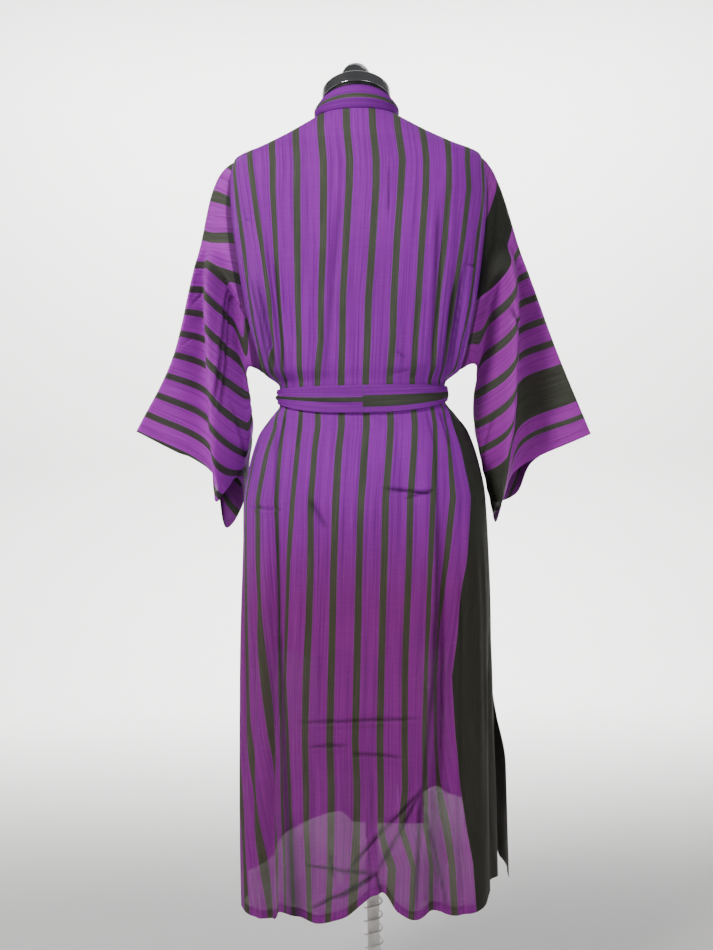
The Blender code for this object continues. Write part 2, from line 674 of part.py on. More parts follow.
def round_curve(around, known, values):
    """A smooth closed curve through the lines' points, by their share of the way round."""
    known, values = rounded_crease(known, values)
    known = np.concatenate([known[-2:] - 1, known, known[:3] + 1])
    values = np.concatenate([values[-2:], values, values[:3]])
    length = np.linalg.norm(np.diff(values, axis=0), axis=1)[:, None]
    tangent = (values[2:] - values[:-2]) / (length[1:] + length[:-1])
    known, values, length = known[1:-1], values[1:-1], length[1:-1]
    i = np.clip(np.searchsorted(known, around, side="right") - 1, 0, len(known) - 2)
    step = length[i]
    t = (around[:, None] - known[i][:, None]) / (known[i + 1] - known[i])[:, None]
    rise = 3 * t**2 - 2 * t**3
    start = (t**3 - 2 * t**2 + t) * step * tangent[i]
    end = (t**3 - t**2) * step * tangent[i + 1]
    return (1 - rise) * values[i] + rise * values[i + 1] + start + end


def sleeve_grid(lines, around, rows):
    """The points of a left sleeve, a loop for each row from armhole to cuff."""
    known = np.array([line[0] for line in lines.values()])
    loops = [armhole_loop(around)]
    for station in (1, 2, 3):
        points = np.array([line[station] for line in lines.values()])
        loops.append(round_curve(around, known, points))
    loops = np.array(loops)
    low = np.sin(math.pi * around) ** 2
    loops[0, :, 0] += SHOULDER_CLEARANCE + (ARMHOLE_CLEARANCE - SHOULDER_CLEARANCE) * np.sqrt(low)
    tangent = np.array([loops[1] - loops[0], (loops[2] - loops[0]) / 2,
                        (loops[3] - loops[1]) / 2, loops[3] - loops[2]])
    grid = []
    for way in rows * 3:
        i = min(int(way), 2)
        t = way - i
        rise = 3 * t**2 - 2 * t**3
        point = (1 - rise) * loops[i] + rise * loops[i + 1]
        point = point + (t**3 - 2 * t**2 + t) * tangent[i] + (t**3 - t**2) * tangent[i + 1]
        grid.append(point)
    return np.array(grid)


def sleeve_shares():
    """Shares of the way round a sleeve: where the armhole's rows lie, then even round the arm."""
    yoke_fall = SHOULDER_HEIGHT - (SHOULDER_HEIGHT - YOKE_HEIGHT) * np.append(YOKE_WAYS, 1.0)
    lower_fall = row_heights(np.zeros(1))[1:6, 0]
    heights = np.concatenate([yoke_fall, lower_fall, UNDERARM_ROWS, [ARMPIT_HEIGHT]])
    loop, share = armhole_table()
    middle = np.argmin(loop[:, 2])
    behind = np.interp(-heights, -loop[: middle + 1, 2], share[: middle + 1])
    before = np.interp(heights[::-1][1:], loop[middle:, 2], share[middle:])
    at_folds = [fold + side * FOLD_REACH for fold in SLEEVE_FOLDS for side in (-1, 0, 1)]
    at_crease = (0, CREASE_REACH / 2, CREASE_REACH, 1 - CREASE_REACH, 1 - CREASE_REACH / 2, 1)
    folds = np.array([*at_folds, *at_crease])
    at_seam = np.array([*behind, *before])
    apart = np.min(np.abs(at_seam[:, None] - folds), axis=1)
    return np.unique([*folds, *at_seam[apart > FOLD_REACH / 2]])


def build_sleeves(material):
    """Wide sleeves that hang empty from the armholes and fold under their own weight."""
    around = sleeve_shares()
    rows = np.concatenate([SLEEVE_TOP_ROWS, np.linspace(0.30, 1, 8)])
    wall("sleeve_left", sleeve_grid(SLEEVE_LINES_LEFT, around, rows), CLOTH, material, closed=True)
    right = mirrored(sleeve_grid(SLEEVE_LINES_RIGHT, around, rows))
    wall("sleeve_right", right, CLOTH, material, closed=True)


def belt_low(turn):
    """The belt's lower edge: deep behind, drawn narrow at the sides."""
    behind = np.clip(np.cos(turn), 0, 1) ** 1.5
    before = np.clip(-np.cos(turn), 0, 1) ** 1.5
    drop = (BELT_LOW_BACK - BELT_LOW_SIDE) * behind + (BELT_LOW_FRONT - BELT_LOW_SIDE) * before
    return BELT_LOW_SIDE + drop


def build_belt(material):
    """The belt round the waist, its knot in front and its two hanging ends."""
    turn = np.linspace(-math.pi, math.pi, 49)
    rows = []
    for way in (0, 0.35, 0.65, 1):
        height = BELT_TOP + (belt_low(turn) - BELT_TOP) * way
        size = section(height)
        stand = BELT_STAND_OFF + BELT_BULGE * math.sin(math.pi * way)
        x, y = moved_out(size, *ring_point(size, turn), stand)
        rows.append(np.stack([x, y, height], axis=1))
    wall("belt_band", np.array(rows), DOUBLE_CLOTH, material, closed=True)
    build_knot(material)
    for row in BELT_TAILS:
        build_tail(material, *row)


def build_tail(material, name, arc_top, arc_foot, top, foot, sway):
    """One hanging end of the belt, close to the front below the knot."""
    def stand_of(x, at):
        knot_stand = TAIL_TOP_STAND * np.exp(-(((top - at) / 0.030) ** 2))
        return centre_stand(x, at) + TAIL_STAND + knot_stand

    bend = top - 0.04
    height = np.concatenate([np.linspace(top, bend, 5)[:-1], np.linspace(bend, foot, 11)])
    way = (top - height) / (top - foot)
    middle = arc_top + (arc_foot - arc_top) * way + sway * np.sin(2 * math.pi * way)
    width = TAIL_TOP_WIDTH + (TAIL_WIDTH - TAIL_TOP_WIDTH) * smooth_step(top - height, 0, 0.10)
    edges = [front_line(height, middle + side * width / 2, stand_of) for side in (-1, 0, 1)]
    wall(name, np.array(edges).transpose(1, 0, 2), DOUBLE_CLOTH, material)


def build_knot(material):
    """The knot: a rounded lump with a wrap that crosses it on a slant."""
    wide, deep, tall = (side / 2 for side in KNOT_SIZE)
    belt_face = section(np.array([WAIST_HEIGHT]))["front"][0] + BELT_STAND_OFF + DOUBLE_CLOTH
    polar, spin = np.linspace(0, math.pi, 11)[1:-1], np.linspace(0, 2 * math.pi, 19)[:-1]
    polar, spin = np.meshgrid(polar, spin, indexing="ij")
    across = np.sin(polar) * np.cos(spin)
    towards = np.sin(polar) * np.sin(spin)
    slant = np.cos(polar) * 0.55 + across * 0.85
    swell = 1 + 0.13 * np.exp(-((slant / 0.35) ** 2))
    x = wide * np.sign(across) * np.abs(across) ** 0.75 * swell
    y = deep * np.sign(towards) * np.abs(towards) ** 0.75 * np.where(towards < 0, swell, 1)
    z = tall * np.cos(polar)
    middle = np.array([0, KNOT_GAP - belt_face - deep, (BELT_TOP + BELT_LOW_FRONT) / 2 - 0.002])
    rings = np.stack([x, y, z], axis=2) + middle
    poles = np.array([middle + (0, 0, tall), middle - (0, 0, tall)])
    count = rings.shape[1]
    points = np.concatenate([rings.reshape(-1, 3), poles])
    top, low = len(points) - 2, len(points) - 1
    faces = []
    for r in range(rings.shape[0] - 1):
        for c in range(count):
            a, b = r * count + c, r * count + (c + 1) % count
            faces.append((a, a + count, b + count, b))
    last = (rings.shape[0] - 1) * count
    for c in range(count):
        faces.append((top, c, (c + 1) % count))
        faces.append((low, last + (c + 1) % count, last + c))
    mesh_object("belt_knot", points, faces, material)


def build_torso(material):
    """The limbless dress form, a smooth loft from its foot to the tilted top of its neck."""
    upper_rows = (1.425, 1.442, 1.453, 1.464, 1.475, 1.486)
    turn = np.linspace(0, 2 * math.pi, 29)[:-1]
    rings = []
    for height in (*np.linspace(TORSO_FOOT, 1.40, 12), *upper_rows):
        x, y = ring_point(section(height, TORSO_SECTIONS), turn)
        rings.append(np.stack([x, y, np.full_like(x, height)], axis=1))
    top_y, top_z = NECK_RADIUS * math.cos(NECK_TILT), NECK_RADIUS * math.sin(NECK_TILT)
    top = np.stack([NECK_RADIUS * np.sin(turn), top_y * np.cos(turn), top_z * np.cos(turn)], axis=1)
    top = top + np.array(NECK_TOP)
    root = rings[-1]
    for rise in (0.14, 0.30, 0.50, 0.75, 1.0):
        drawn_in = np.array([1 - (1 - rise) ** 3, 1 - (1 - rise) ** 3, rise])
        rings.append(root + (top - root) * drawn_in)
    count = len(turn)
    points = np.concatenate(rings)
    faces = [tuple(range(count)), tuple(len(points) - 1 - i for i in range(count))]
    for r in range(len(rings) - 1):
        for c in range(count):
            a, b = r * count + c, r * count + (c + 1) % count
            faces.append((a, a + count, b + count, b))
    mesh_object("form_torso", points, faces, material)


def turned(name, profile, segments, material, place=None):
    """A turned piece: a profile of (radius, height) pairs, from top to foot, with a Screw."""
    mesh = bpy.data.meshes.new(name)
    edges = [(i, i + 1) for i in range(len(profile) - 1)]
    mesh.from_pydata([(radius, 0, height) for radius, height in profile], edges, [])
    mesh.materials.append(material)
    thing = bpy.data.objects.new(name, mesh)
    parts.objects.link(thing)
    screw = thing.modifiers.new("turn", "SCREW")
    screw.steps = screw.render_steps = segments
    screw.use_merge_vertices = True
    screw.merge_threshold = 0.00001
    if place is not None:
        thing.matrix_world = place
    return thing


def tilted(up):
    """A place on the neck's leaning axis, a distance up from the top of the neck."""
    lean = Matrix.Rotation(NECK_TILT, 4, "X")
    return Matrix.Translation(NECK_TOP + (lean @ Vector((0, 0, up)))) @ lean


def build_neck_cap(rim_material, chrome):
    """A dark rim, a chrome cap and its finial, on the leaning top of the neck."""
    rim_top = SEAM_GAP + NECK_RING_THICKNESS
    rim = [(0, rim_top), (NECK_RING_RADIUS, rim_top), (NECK_RING_RADIUS, SEAM_GAP), (0, SEAM_GAP)]
    turned("form_neck_ring", rim, 32, rim_material, tilted(0))
    low, high = rim_top + SEAM_GAP, rim_top + SEAM_GAP + CAP_THICKNESS
    flat = FINIAL_STEM_RADIUS + 0.002
    dome = [(flat + (CAP_RADIUS - flat) * math.sin(a), high + CAP_DOME * math.cos(a))
            for a in np.linspace(0, 0.5 * math.pi, 7)]
    cap = [(0, high + CAP_DOME), *dome, (CAP_RADIUS, low), (0, low)]
    turned("form_neck_cap", cap, 28, chrome, tilted(0))
    foot = high + CAP_DOME + SEAM_GAP
    ball = [(FINIAL_RADIUS * math.sin(a), FINIAL_CENTRE + FINIAL_RADIUS * math.cos(a))
            for a in np.linspace(0, 0.84 * math.pi, 11)]
    stem = [(FINIAL_STEM_RADIUS, foot), (0, foot)]
    turned("form_finial", ball + stem, 20, chrome, tilted(0))


def build_stand(metal):
    """The pole between its flange under the form and its round base, with a wire spiral."""
    torso_foot = TORSO_FOOT - SEAM_GAP
    flange_foot = torso_foot - FLANGE_HEIGHT
    plate_foot = torso_foot - 0.005
    flange = [(0, torso_foot), (FLANGE_RADIUS, torso_foot), (FLANGE_RADIUS, plate_foot),
              (COLLAR_RADIUS, plate_foot - 0.002), (COLLAR_RADIUS, flange_foot), (0, flange_foot)]
    turned("stand_flange", flange, 24, metal)
    top, foot = flange_foot - SEAM_GAP, BOSS_HEIGHT + SEAM_GAP
    turned("stand_pole", [(0, top), (POLE_RADIUS, top), (POLE_RADIUS, foot), (0, foot)], 24, metal)
    base = [(0, BOSS_HEIGHT), (BOSS_RADIUS - 0.002, BOSS_HEIGHT), (BOSS_RADIUS, BOSS_HEIGHT - 0.002),
            (BOSS_RADIUS + 0.002, 0.017), (BOSS_RADIUS + 0.018, BASE_THICKNESS + 0.001),
            (BASE_RADIUS - 0.004, BASE_THICKNESS), (BASE_RADIUS, BASE_THICKNESS - 0.004),
            (BASE_RADIUS, 0), (0, 0)]
    turned("stand_base", base, 36, metal)
    build_spiral(metal)


def build_spiral(metal):
    """A wire wound round the foot of the pole, its ends drawn in to the pole."""
    count = SPIRAL_TURNS * SPIRAL_SEGMENTS + 1
    way = np.linspace(0, 1, count)
    angle = way * SPIRAL_TURNS * 2 * math.pi
    drawn_in = 1 - smooth_step(way, 0, 0.5 / SPIRAL_TURNS) * smooth_step(1 - way, 0, 0.5 / SPIRAL_TURNS)
    radius = SPIRAL_RADIUS + (SPIRAL_SEAT - SPIRAL_RADIUS) * drawn_in
    height = SPIRAL_FOOT + SPIRAL_PITCH * SPIRAL_TURNS * way
    curve = bpy.data.curves.new("stand_spiral", "CURVE")
    curve.dimensions = "3D"
    curve.bevel_depth = SPIRAL_WIRE
    curve.bevel_resolution = 2
    curve.use_fill_caps = True
    spline = curve.splines.new("POLY")
    spline.points.add(count - 1)
    for point, a, r, h in zip(spline.points, angle, radius, height):
        point.co = (r * math.cos(a), r * math.sin(a), h, 1)
    curve.materials.append(metal)
    parts.objects.link(bpy.data.objects.new("stand_spiral", curve))


for leftover in list(bpy.data.objects):
    bpy.data.objects.remove(leftover)
parts = bpy.data.collections.new("kimono_robe_on_form")
bpy.context.scene.collection.children.link(parts)

PURPLE = make_material("striped_cotton", (0.27, 0.06, 0.36), 0.75)
BAND = make_material("striped_cotton_double", (0.22, 0.05, 0.30), 0.75)
BLACK = make_material("form_jersey", (0.03, 0.03, 0.032), 0.8)
CHROME = make_material("chrome_cap", (0.62, 0.62, 0.62), 0.12, 1.0)
WHITE = make_material("white_lacquer", (0.75, 0.74, 0.70), 0.4)

build_back(PURPLE)
build_fronts(PURPLE, BAND)
build_sleeves(PURPLE)
build_belt(BAND)
build_torso(BLACK)
build_neck_cap(BLACK, CHROME)
build_stand(WHITE)
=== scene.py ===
"""A striped kimono robe with wide sleeves and a tied belt, on a limbless dress form.

Metres, +Z up. The front of the robe faces -Y, its back +Y, and the wearer's left is +X.
"""

import math

import bpy
import numpy as np
from mathutils import Matrix, Vector


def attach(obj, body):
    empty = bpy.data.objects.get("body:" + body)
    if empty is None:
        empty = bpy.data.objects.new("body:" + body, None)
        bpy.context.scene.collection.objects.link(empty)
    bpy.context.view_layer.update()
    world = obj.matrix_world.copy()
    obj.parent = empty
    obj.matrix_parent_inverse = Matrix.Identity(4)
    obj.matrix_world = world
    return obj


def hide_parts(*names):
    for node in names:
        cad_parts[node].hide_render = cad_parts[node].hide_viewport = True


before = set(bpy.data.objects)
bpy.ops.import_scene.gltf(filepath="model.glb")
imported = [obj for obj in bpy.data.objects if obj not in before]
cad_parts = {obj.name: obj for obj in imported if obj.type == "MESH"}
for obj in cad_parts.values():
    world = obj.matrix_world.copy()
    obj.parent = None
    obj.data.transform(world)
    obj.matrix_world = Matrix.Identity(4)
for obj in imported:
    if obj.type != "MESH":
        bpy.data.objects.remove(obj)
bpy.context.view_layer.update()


# The robe's cloth: thin, slightly sheer plain-weave cotton in purple, with dark olive stripes
# woven along the warp and one pale thread at each side of a stripe. Pattern and threads follow
# the flat cloth's own coordinates, kept in metres in the UV map "cloth": across and along.

STRIPE_PITCH = 0.0395
STRIPE_WIDTH = 0.0112
STRIPE_SOFTNESS = 0.0006
PURPLE = (0.335, 0.012, 0.500)
DEEP_PURPLE = (0.230, 0.007, 0.360)
OLIVE = (0.070, 0.078, 0.053)
PALE_OLIVE = (0.155, 0.160, 0.125)
PALE_THREAD = (0.450, 0.150, 0.530)
PLAIN_TONE = (1.0, 1.0, 1.0)
# Painted shade: how much darker a panel is drawn towards its hem.
SKIRT_PAINTED_SHADE = (0.74, 0.62, 0.51)
# Painted light: each sleeve's colour is lightened, the left more than the right, as the lamps leave them
# dimmer; the gains also shift its hue.
LEFT_SLEEVE_PAINTED_LIGHT = (1.60, 3.10, 1.30)
RIGHT_SLEEVE_PAINTED_LIGHT = (1.35, 2.50, 1.02)
DOUBLE_TONE = (0.78, 0.50, 0.80)
WIDE_OLIVE_TONE = 0.68
WARP_GRAIN = (780.0, 11.0, 1.0)
WIDE_WARP_GRAIN = (330.0, 4.0, 1.0)
WEFT_GRAIN = (26.0, 520.0, 1.0)
SLUB_GRAIN = (90.0, 900.0, 1.0)
OPEN_WEAVE_GRAIN = (1100.0, 900.0, 1.0)
THREAD_PITCH = 0.0009
PALE_WIDTH = 0.0009
STITCH_LINES = (0.0105, 0.0128)
STITCH_STEP = 0.0032
STITCH_WIDTH = 0.0008
# How dark the painted shade is drawn in crease valleys and gaps, and inside a cuff, and the heights where the
# painted shade on a panel's lower part fades out.
CREASE_SHADE = 0.70
INSIDE_SHADE = 0.62
LOW_SHADE_HEIGHTS = (0.70, 0.95)
NECK_SEAM_HEIGHTS = (1.46, 1.49)


class Num:
    """A number in a shader. Each operator used on it adds one Math node."""

    def __init__(self, paint, socket):
        self.paint, self.socket = paint, socket

    def math(self, operation, *others):
        inputs = dict(enumerate((self, *others)))
        return self.paint.number("ShaderNodeMath", {"operation": operation}, inputs)

    def __add__(self, other):
        return self.math("ADD", other)

    def __mul__(self, other):
        return self.math("MULTIPLY", other)

    def __sub__(self, other):
        return self.math("SUBTRACT", other)

    def __rsub__(self, other):
        return self * -1 + other

    def __truediv__(self, other):
        return self.math("DIVIDE", other)

    __radd__ = __add__
    __rmul__ = __mul__


class Paint:
    """A material under construction: its node tree and its Principled shader."""

    def __init__(self, name, roughness, **constants):
        self.material = bpy.data.materials.new(name)
        self.material.use_nodes = True
        self.tree = self.material.node_tree
        self.shader = self.tree.nodes["Principled BSDF"]
        self.shader.inputs["Roughness"].default_value = roughness
        for socket, value in constants.items():
            self.shader.inputs[socket.replace("_", " ")].default_value = value

    def node(self, kind, settings, inputs):
        """One node: its settings first, then a value or a link for each input."""
        node = self.tree.nodes.new(kind)
        for name, value in settings.items():
            setattr(node, name, value)
        for key, value in inputs.items():
            if isinstance(value, Num):
                value = value.socket
            if isinstance(value, bpy.types.NodeSocket):
                self.tree.links.new(value, node.inputs[key])
            else:
                node.inputs[key].default_value = value
        return node

    def number(self, kind, settings, inputs, output=0):
        return Num(self, self.node(kind, settings, inputs).outputs[output])

    def step(self, x, low, high):
        """0 below low, 1 above high, an even S between."""
        return self.number("ShaderNodeMapRange", {"interpolation_type": "SMOOTHSTEP"},
                           {0: x, 1: low, 2: high, 3: 0.0, 4: 1.0})

    def band(self, x, start, end, soft=0.0005):
        """1 between start and end, 0 outside."""
        return self.step(x, start - soft, start + soft) * (1 - self.step(x, end - soft, end + soft))

    def mix(self, factor, first, second, blend="MIX"):
        """One colour laid over another by a factor."""
        settings = {"data_type": "RGBA", "blend_type": blend}
        return self.node("ShaderNodeMix", settings, {0: factor, 6: first, 7: second}).outputs[2]

    def tinted(self, colour, tint):
        return self.mix(1.0, colour, tint, "MULTIPLY")

    def noise(self, vector, scale, detail=3.0, roughness=0.55):
        inputs = {"Vector": vector, "Scale": scale, "Detail": detail, "Roughness": roughness}
        return self.number("ShaderNodeTexNoise", {}, inputs)

    def stretched(self, vector, scale):
        """A vector with each part scaled by its own amount."""
        return self.node("ShaderNodeVectorMath", {"operation": "MULTIPLY"},
                         {0: vector, 1: scale}).outputs[0]

    def grain(self, vector, scale, detail=2.0):
        """Noise drawn out along one direction."""
        return self.noise(self.stretched(vector, scale), 1.0, detail)

    def place(self):
        """The point on the object, in metres."""
        return self.node("ShaderNodeTexCoord", {}, {}).outputs["Object"]

    def cloth_map(self, name):
        return self.node("ShaderNodeUVMap", {"uv_map": name}, {}).outputs[0]

    def parts(self, vector):
        """The three numbers of a vector."""
        outputs = self.node("ShaderNodeSeparateXYZ", {}, {0: vector}).outputs
        return [Num(self, output) for output in outputs]

    def grey(self, number):
        return self.node("ShaderNodeCombineColor", {}, {0: number, 1: number, 2: number}).outputs[0]

    def feed(self, **links):
        """Link values to the Principled shader's sockets."""
        for socket, value in links.items():
            value = value.socket if isinstance(value, Num) else value
            self.tree.links.new(value, self.shader.inputs[socket.replace("_", " ")])
        return self.material

    def bump(self, height, distance, strength=1.0):
        node = self.node("ShaderNodeBump", {}, {"Height": height})
        node.inputs["Distance"].default_value = distance
        node.inputs["Strength"].default_value = strength
        return node.outputs[0]


def striped_cotton(name, stripes, opacity=0.962, flecks=0.17, dye_and_painted_light=PLAIN_TONE, low_painted_shade=None,
                   hemmed=True):
    """Striped cotton. stripes takes the paint and the across and along numbers, and gives three
    masks: where the cloth is olive, where the pale threads run, and which olive is in a wide
    band. Light comes through in flecks where the weave is open. The purple is multiplied by a
    given colour: on doubled cloth it deepens the dye, and on the sleeves it is painted light that
    brightens them. A panel's colour may be darkened towards its hem by painted shade. A
    hemmed piece has two more maps: "hem" with the way round and the distance from the turned
    edge, where two rows of stitches run, and "worn", which holds painted shade: how dark a
    point is drawn in the valley of a sharp crease or in the gap by an armhole, and inside a cuff."""
    paint = Paint(name, 0.82)
    flat_cloth = paint.cloth_map("cloth")
    across, along, _ = paint.parts(flat_cloth)
    olive, pale, wide = stripes(paint, across, along)
    warp = paint.grain(flat_cloth, WARP_GRAIN)
    warp_wide = paint.grain(flat_cloth, WIDE_WARP_GRAIN)
    weft = paint.grain(flat_cloth, WEFT_GRAIN)
    patchy = paint.noise(flat_cloth, 7.0, 2.0)
    purple = paint.mix(paint.step(warp_wide, 0.40, 0.72), (*PURPLE, 1), (*DEEP_PURPLE, 1))
    purple = paint.mix(paint.step(warp, 0.58, 0.74) * 0.22, purple, (*PALE_THREAD, 1))
    # On doubled cloth this deepens the dye; on the sleeves it is painted light that brightens them.
    purple = paint.tinted(purple, (*dye_and_painted_light, 1))
    olive_cloth = paint.mix(paint.step(warp, 0.45, 0.75) * 0.40, (*OLIVE, 1), (*PALE_OLIVE, 1))
    olive_cloth = paint.tinted(olive_cloth, paint.grey(1 - WIDE_OLIVE_TONE * wide))
    colour = paint.mix(olive, purple, olive_cloth)
    colour = paint.mix(pale * 0.18, colour, (*PALE_THREAD, 1))
    # Painted shade: a panel darkens towards its hem.
    if low_painted_shade:
        lower = 1 - paint.step(along, *LOW_SHADE_HEIGHTS)
        colour = paint.mix(lower, colour, paint.tinted(colour, (*low_painted_shade, 1)))
    slubs = paint.step(paint.grain(flat_cloth, SLUB_GRAIN, 1.0), 0.70, 0.80)
    colour = paint.mix(slubs * 0.35 * (1 - olive), colour, (*PALE_THREAD, 1))
    shade = 0.62 + 0.30 * warp + 0.28 * weft + 0.30 * patchy
    stitches, inside = 0, 0
    if hemmed:
        round_edge, from_edge, _ = paint.parts(paint.cloth_map("hem"))
        # The "worn" map holds painted shade: crease valleys, the gap by an armhole, and inside a cuff.
        creased, inside, _ = paint.parts(paint.cloth_map("worn"))
        rows = sum(paint.band(from_edge, line - STITCH_WIDTH / 2, line + STITCH_WIDTH / 2, 0.0002)
                   for line in STITCH_LINES)
        stitches = rows * paint.step(round_edge.math("PINGPONG", STITCH_STEP / 2), 0.0002, 0.0006)
        # Painted shade darkens the colour in crease valleys, gaps and inside a cuff.
        shade = (shade - 0.30 * stitches) * (1 - CREASE_SHADE * creased) * (1 - INSIDE_SHADE * inside)
    colour = paint.tinted(colour, paint.grey(shade))
    open_weave = paint.step(paint.grain(flat_cloth, OPEN_WEAVE_GRAIN, 1.0), 0.54, 0.74)
    thin_places = paint.step(paint.noise(flat_cloth, 22.0, 2.0), 0.38, 0.62)
    flecked = flecks * (1 - wide) * open_weave * thin_places
    sewn_down = paint.step(along, *NECK_SEAM_HEIGHTS)
    cover = opacity + 0.10 * (warp - 0.5) - flecked + 0.10 * wide + inside + sewn_down
    turns = 2 * math.pi / THREAD_PITCH
    warp_thread, weft_thread, _ = paint.parts(paint.stretched(flat_cloth, (turns, turns, 1.0)))
    weave = warp_thread.math("SINE") * weft_thread.math("SINE")
    height = 0.35 * weave + 1.2 * warp + 0.9 * weft + 1.5 * slubs - 2.5 * stitches
    return paint.feed(Base_Color=colour, Alpha=cover, Normal=paint.bump(height, 0.00016, 0.7),
                      Roughness=0.74 + 0.14 * warp_wide)


def stripe_edge(paint, x, edge):
    """1 up to a stripe's edge, 0 past it."""
    return 1 - paint.step(x, edge - STRIPE_SOFTNESS, edge + STRIPE_SOFTNESS)


def warp_stripes(paint, across, along):
    """Even olive stripes along the warp, each between two pale threads: the distance from the
    middle of the nearest stripe, where stripes lie one pitch apart, against half a stripe."""
    apart = across.math("PINGPONG", STRIPE_PITCH / 2)
    pale = paint.band(apart, STRIPE_WIDTH / 2, STRIPE_WIDTH / 2 + PALE_WIDTH, 0.0004)
    return stripe_edge(paint, apart, STRIPE_WIDTH / 2), pale, along * 0


def bordered_stripes(paint, across, along, border):
    """Even stripes that give way to a wide plain olive border."""
    olive, pale, _ = warp_stripes(paint, across, along)
    return olive.math("MAXIMUM", border), pale * (1 - border), border


def pale_edges(paint, x, start, end, width):
    """Pale threads on both sides of a stripe."""
    return paint.band(x, start - width, start) + paint.band(x, end, end + width)


# The worn body of the robe: horizontal sections, each a rounded oblong with its own depth
# behind and in front. Cloth is placed on them by height, by arc length from the centre back
# and by how far it stands out.

CLOTH_GAP = 0.0003
DOUBLE_CLOTH = 0.0018
NECK_HEIGHT = 1.514
NECK_HALF_WIDTH = 0.066
SHOULDER_HEIGHT = 1.442
SHOULDER_HALF_WIDTH = 0.205
YOKE_HEIGHT = 1.400
ARMPIT_HEIGHT = 1.090
HIP_HEIGHT = 0.920
ARMHOLE_OPENING = math.radians(12)
SLIT_HEIGHT = 0.530
SLIT_OPENING = 0.004
YOKE_ROWS = 26
HALF_BACK = 0.295
FRONT_WIDTH = 0.335
BELT_TOP = 1.0620
BELT_LOW_BACK = 1.0175
BELT_LOW_SIDE = 1.0400
BELT_LOW_FRONT = 1.0200

SECTION_COLUMNS = ("height", "half_width", "back", "front", "squareness")
BODY_SECTIONS = (
    (0.200, 0.207, 0.160, 0.162, 3.2),
    (0.570, 0.204, 0.153, 0.149, 3.2),
    (0.760, 0.202, 0.148, 0.140, 3.1),
    (0.880, 0.199, 0.142, 0.132, 3.0),
    (0.936, 0.189, 0.133, 0.124, 2.8),
    (0.985, 0.172, 0.119, 0.113, 2.6),
    (1.016, 0.153, 0.104, 0.103, 2.4),
    (1.040, 0.137, 0.102, 0.100, 2.3),
    (1.068, 0.1375, 0.1025, 0.1005, 2.3),
    (1.092, 0.162, 0.109, 0.107, 2.5),
    (1.130, 0.176, 0.113, 0.114, 2.7),
    (1.200, 0.192, 0.117, 0.122, 2.9),
    (1.280, 0.204, 0.120, 0.124, 3.0),
    (1.360, 0.212, 0.117, 0.111, 3.0),
    (1.400, 0.213, 0.112, 0.101, 2.9),
    (1.442, 0.205, 0.100, 0.087, 2.5),
    (1.464, 0.161, 0.092, 0.078, 2.2),
    (1.486, 0.117, 0.082, 0.068, 2.0),
    (1.514, 0.066, 0.0625, 0.052, 2.0),
)


def hermite(t, start, end, leaving, arriving):
    """The cubic from start to end with a tangent at each, where t runs from 0 to 1."""
    rise = 3 * t**2 - 2 * t**3
    ends = (t**3 - 2 * t**2 + t) * leaving + (t**3 - t**2) * arriving
    return (1 - rise) * start + rise * end + ends


def monotone(x, known_x, known_y):
    """A smooth curve through known points that never overshoots them: a Hermite cubic whose
    slopes are harmonic means of those on both sides."""
    x = np.clip(x, known_x[0], known_x[-1])
    span = np.diff(known_x)
    slope = np.diff(known_y) / span
    product = slope[:-1] * slope[1:]
    middle = np.where(product > 0, 2 * product / np.where(product > 0, slope[:-1] + slope[1:], 1), 0)
    tangent = np.concatenate([slope[:1], middle, slope[-1:]])
    i = np.clip(np.searchsorted(known_x, x) - 1, 0, len(span) - 1)
    return hermite((x - known_x[i]) / span[i], known_y[i], known_y[i + 1], tangent[i] * span[i],
                   tangent[i + 1] * span[i])


def from_table(x, rows):
    """The second column's value by the first's."""
    return monotone(x, *np.array(rows).T)


def run_along(points):
    """The distance along lines of points, from the first row."""
    return np.cumsum(np.linalg.norm(np.diff(points, axis=0, prepend=points[:1]), axis=-1), axis=0)


def smooth_step(x, low, high):
    """0 below low, 1 above high, and an even S between: 3t^2 - 2t^3."""
    t = np.clip((x - low) / (high - low), 0, 1)
    return t * t * (3 - 2 * t)


def sizes_at(height, rows=BODY_SECTIONS):
    """The sizes of the section at each height, from a table of sections."""
    table = np.array(rows).T
    return {name: monotone(height, table[0], table[i])
            for i, name in enumerate(SECTION_COLUMNS) if i}


def ring_point(size, turn):
    """A point of a section by its turn, 0 at the centre back and growing to the left side: the
    sine and cosine of the turn, each raised to 2 / squareness and scaled to the section."""
    across, along = np.sin(turn), np.cos(turn)
    power = 2 / size["squareness"]
    depth = np.where(along > 0, size["back"], size["front"])
    x = size["half_width"] * np.sign(across) * np.abs(across) ** power
    return x, depth * np.sign(along) * np.abs(along) ** power


def depth_at(size, x, facing):
    """How far behind (facing 1) or in front (facing -1) of the middle the section lies at x."""
    share = np.clip(np.abs(x) / size["half_width"], 0, 1)
    depth = size["back"] if facing > 0 else size["front"]
    return facing * depth * (1 - share ** size["squareness"]) ** (1 / size["squareness"])


def moved_out(size, x, y, distance):
    """Points moved along the section's own normal."""
    power = size["squareness"] - 1
    depth = np.where(y > 0, size["back"], size["front"])
    nx = np.sign(x) * (np.abs(x) / size["half_width"]) ** power / size["half_width"]
    ny = np.sign(y) * (np.abs(y) / depth) ** power / depth
    length = np.hypot(nx, ny) + 1e-12
    return x + distance * nx / length, y + distance * ny / length


def armhole_turn(height):
    """The turn at which the panels end: the side seam, or the armhole's edge above it."""
    rise = np.clip((height - ARMPIT_HEIGHT) / 0.12, 0, 1)
    return math.pi / 2 - ARMHOLE_OPENING * np.sqrt(np.sin(rise * math.pi / 2))


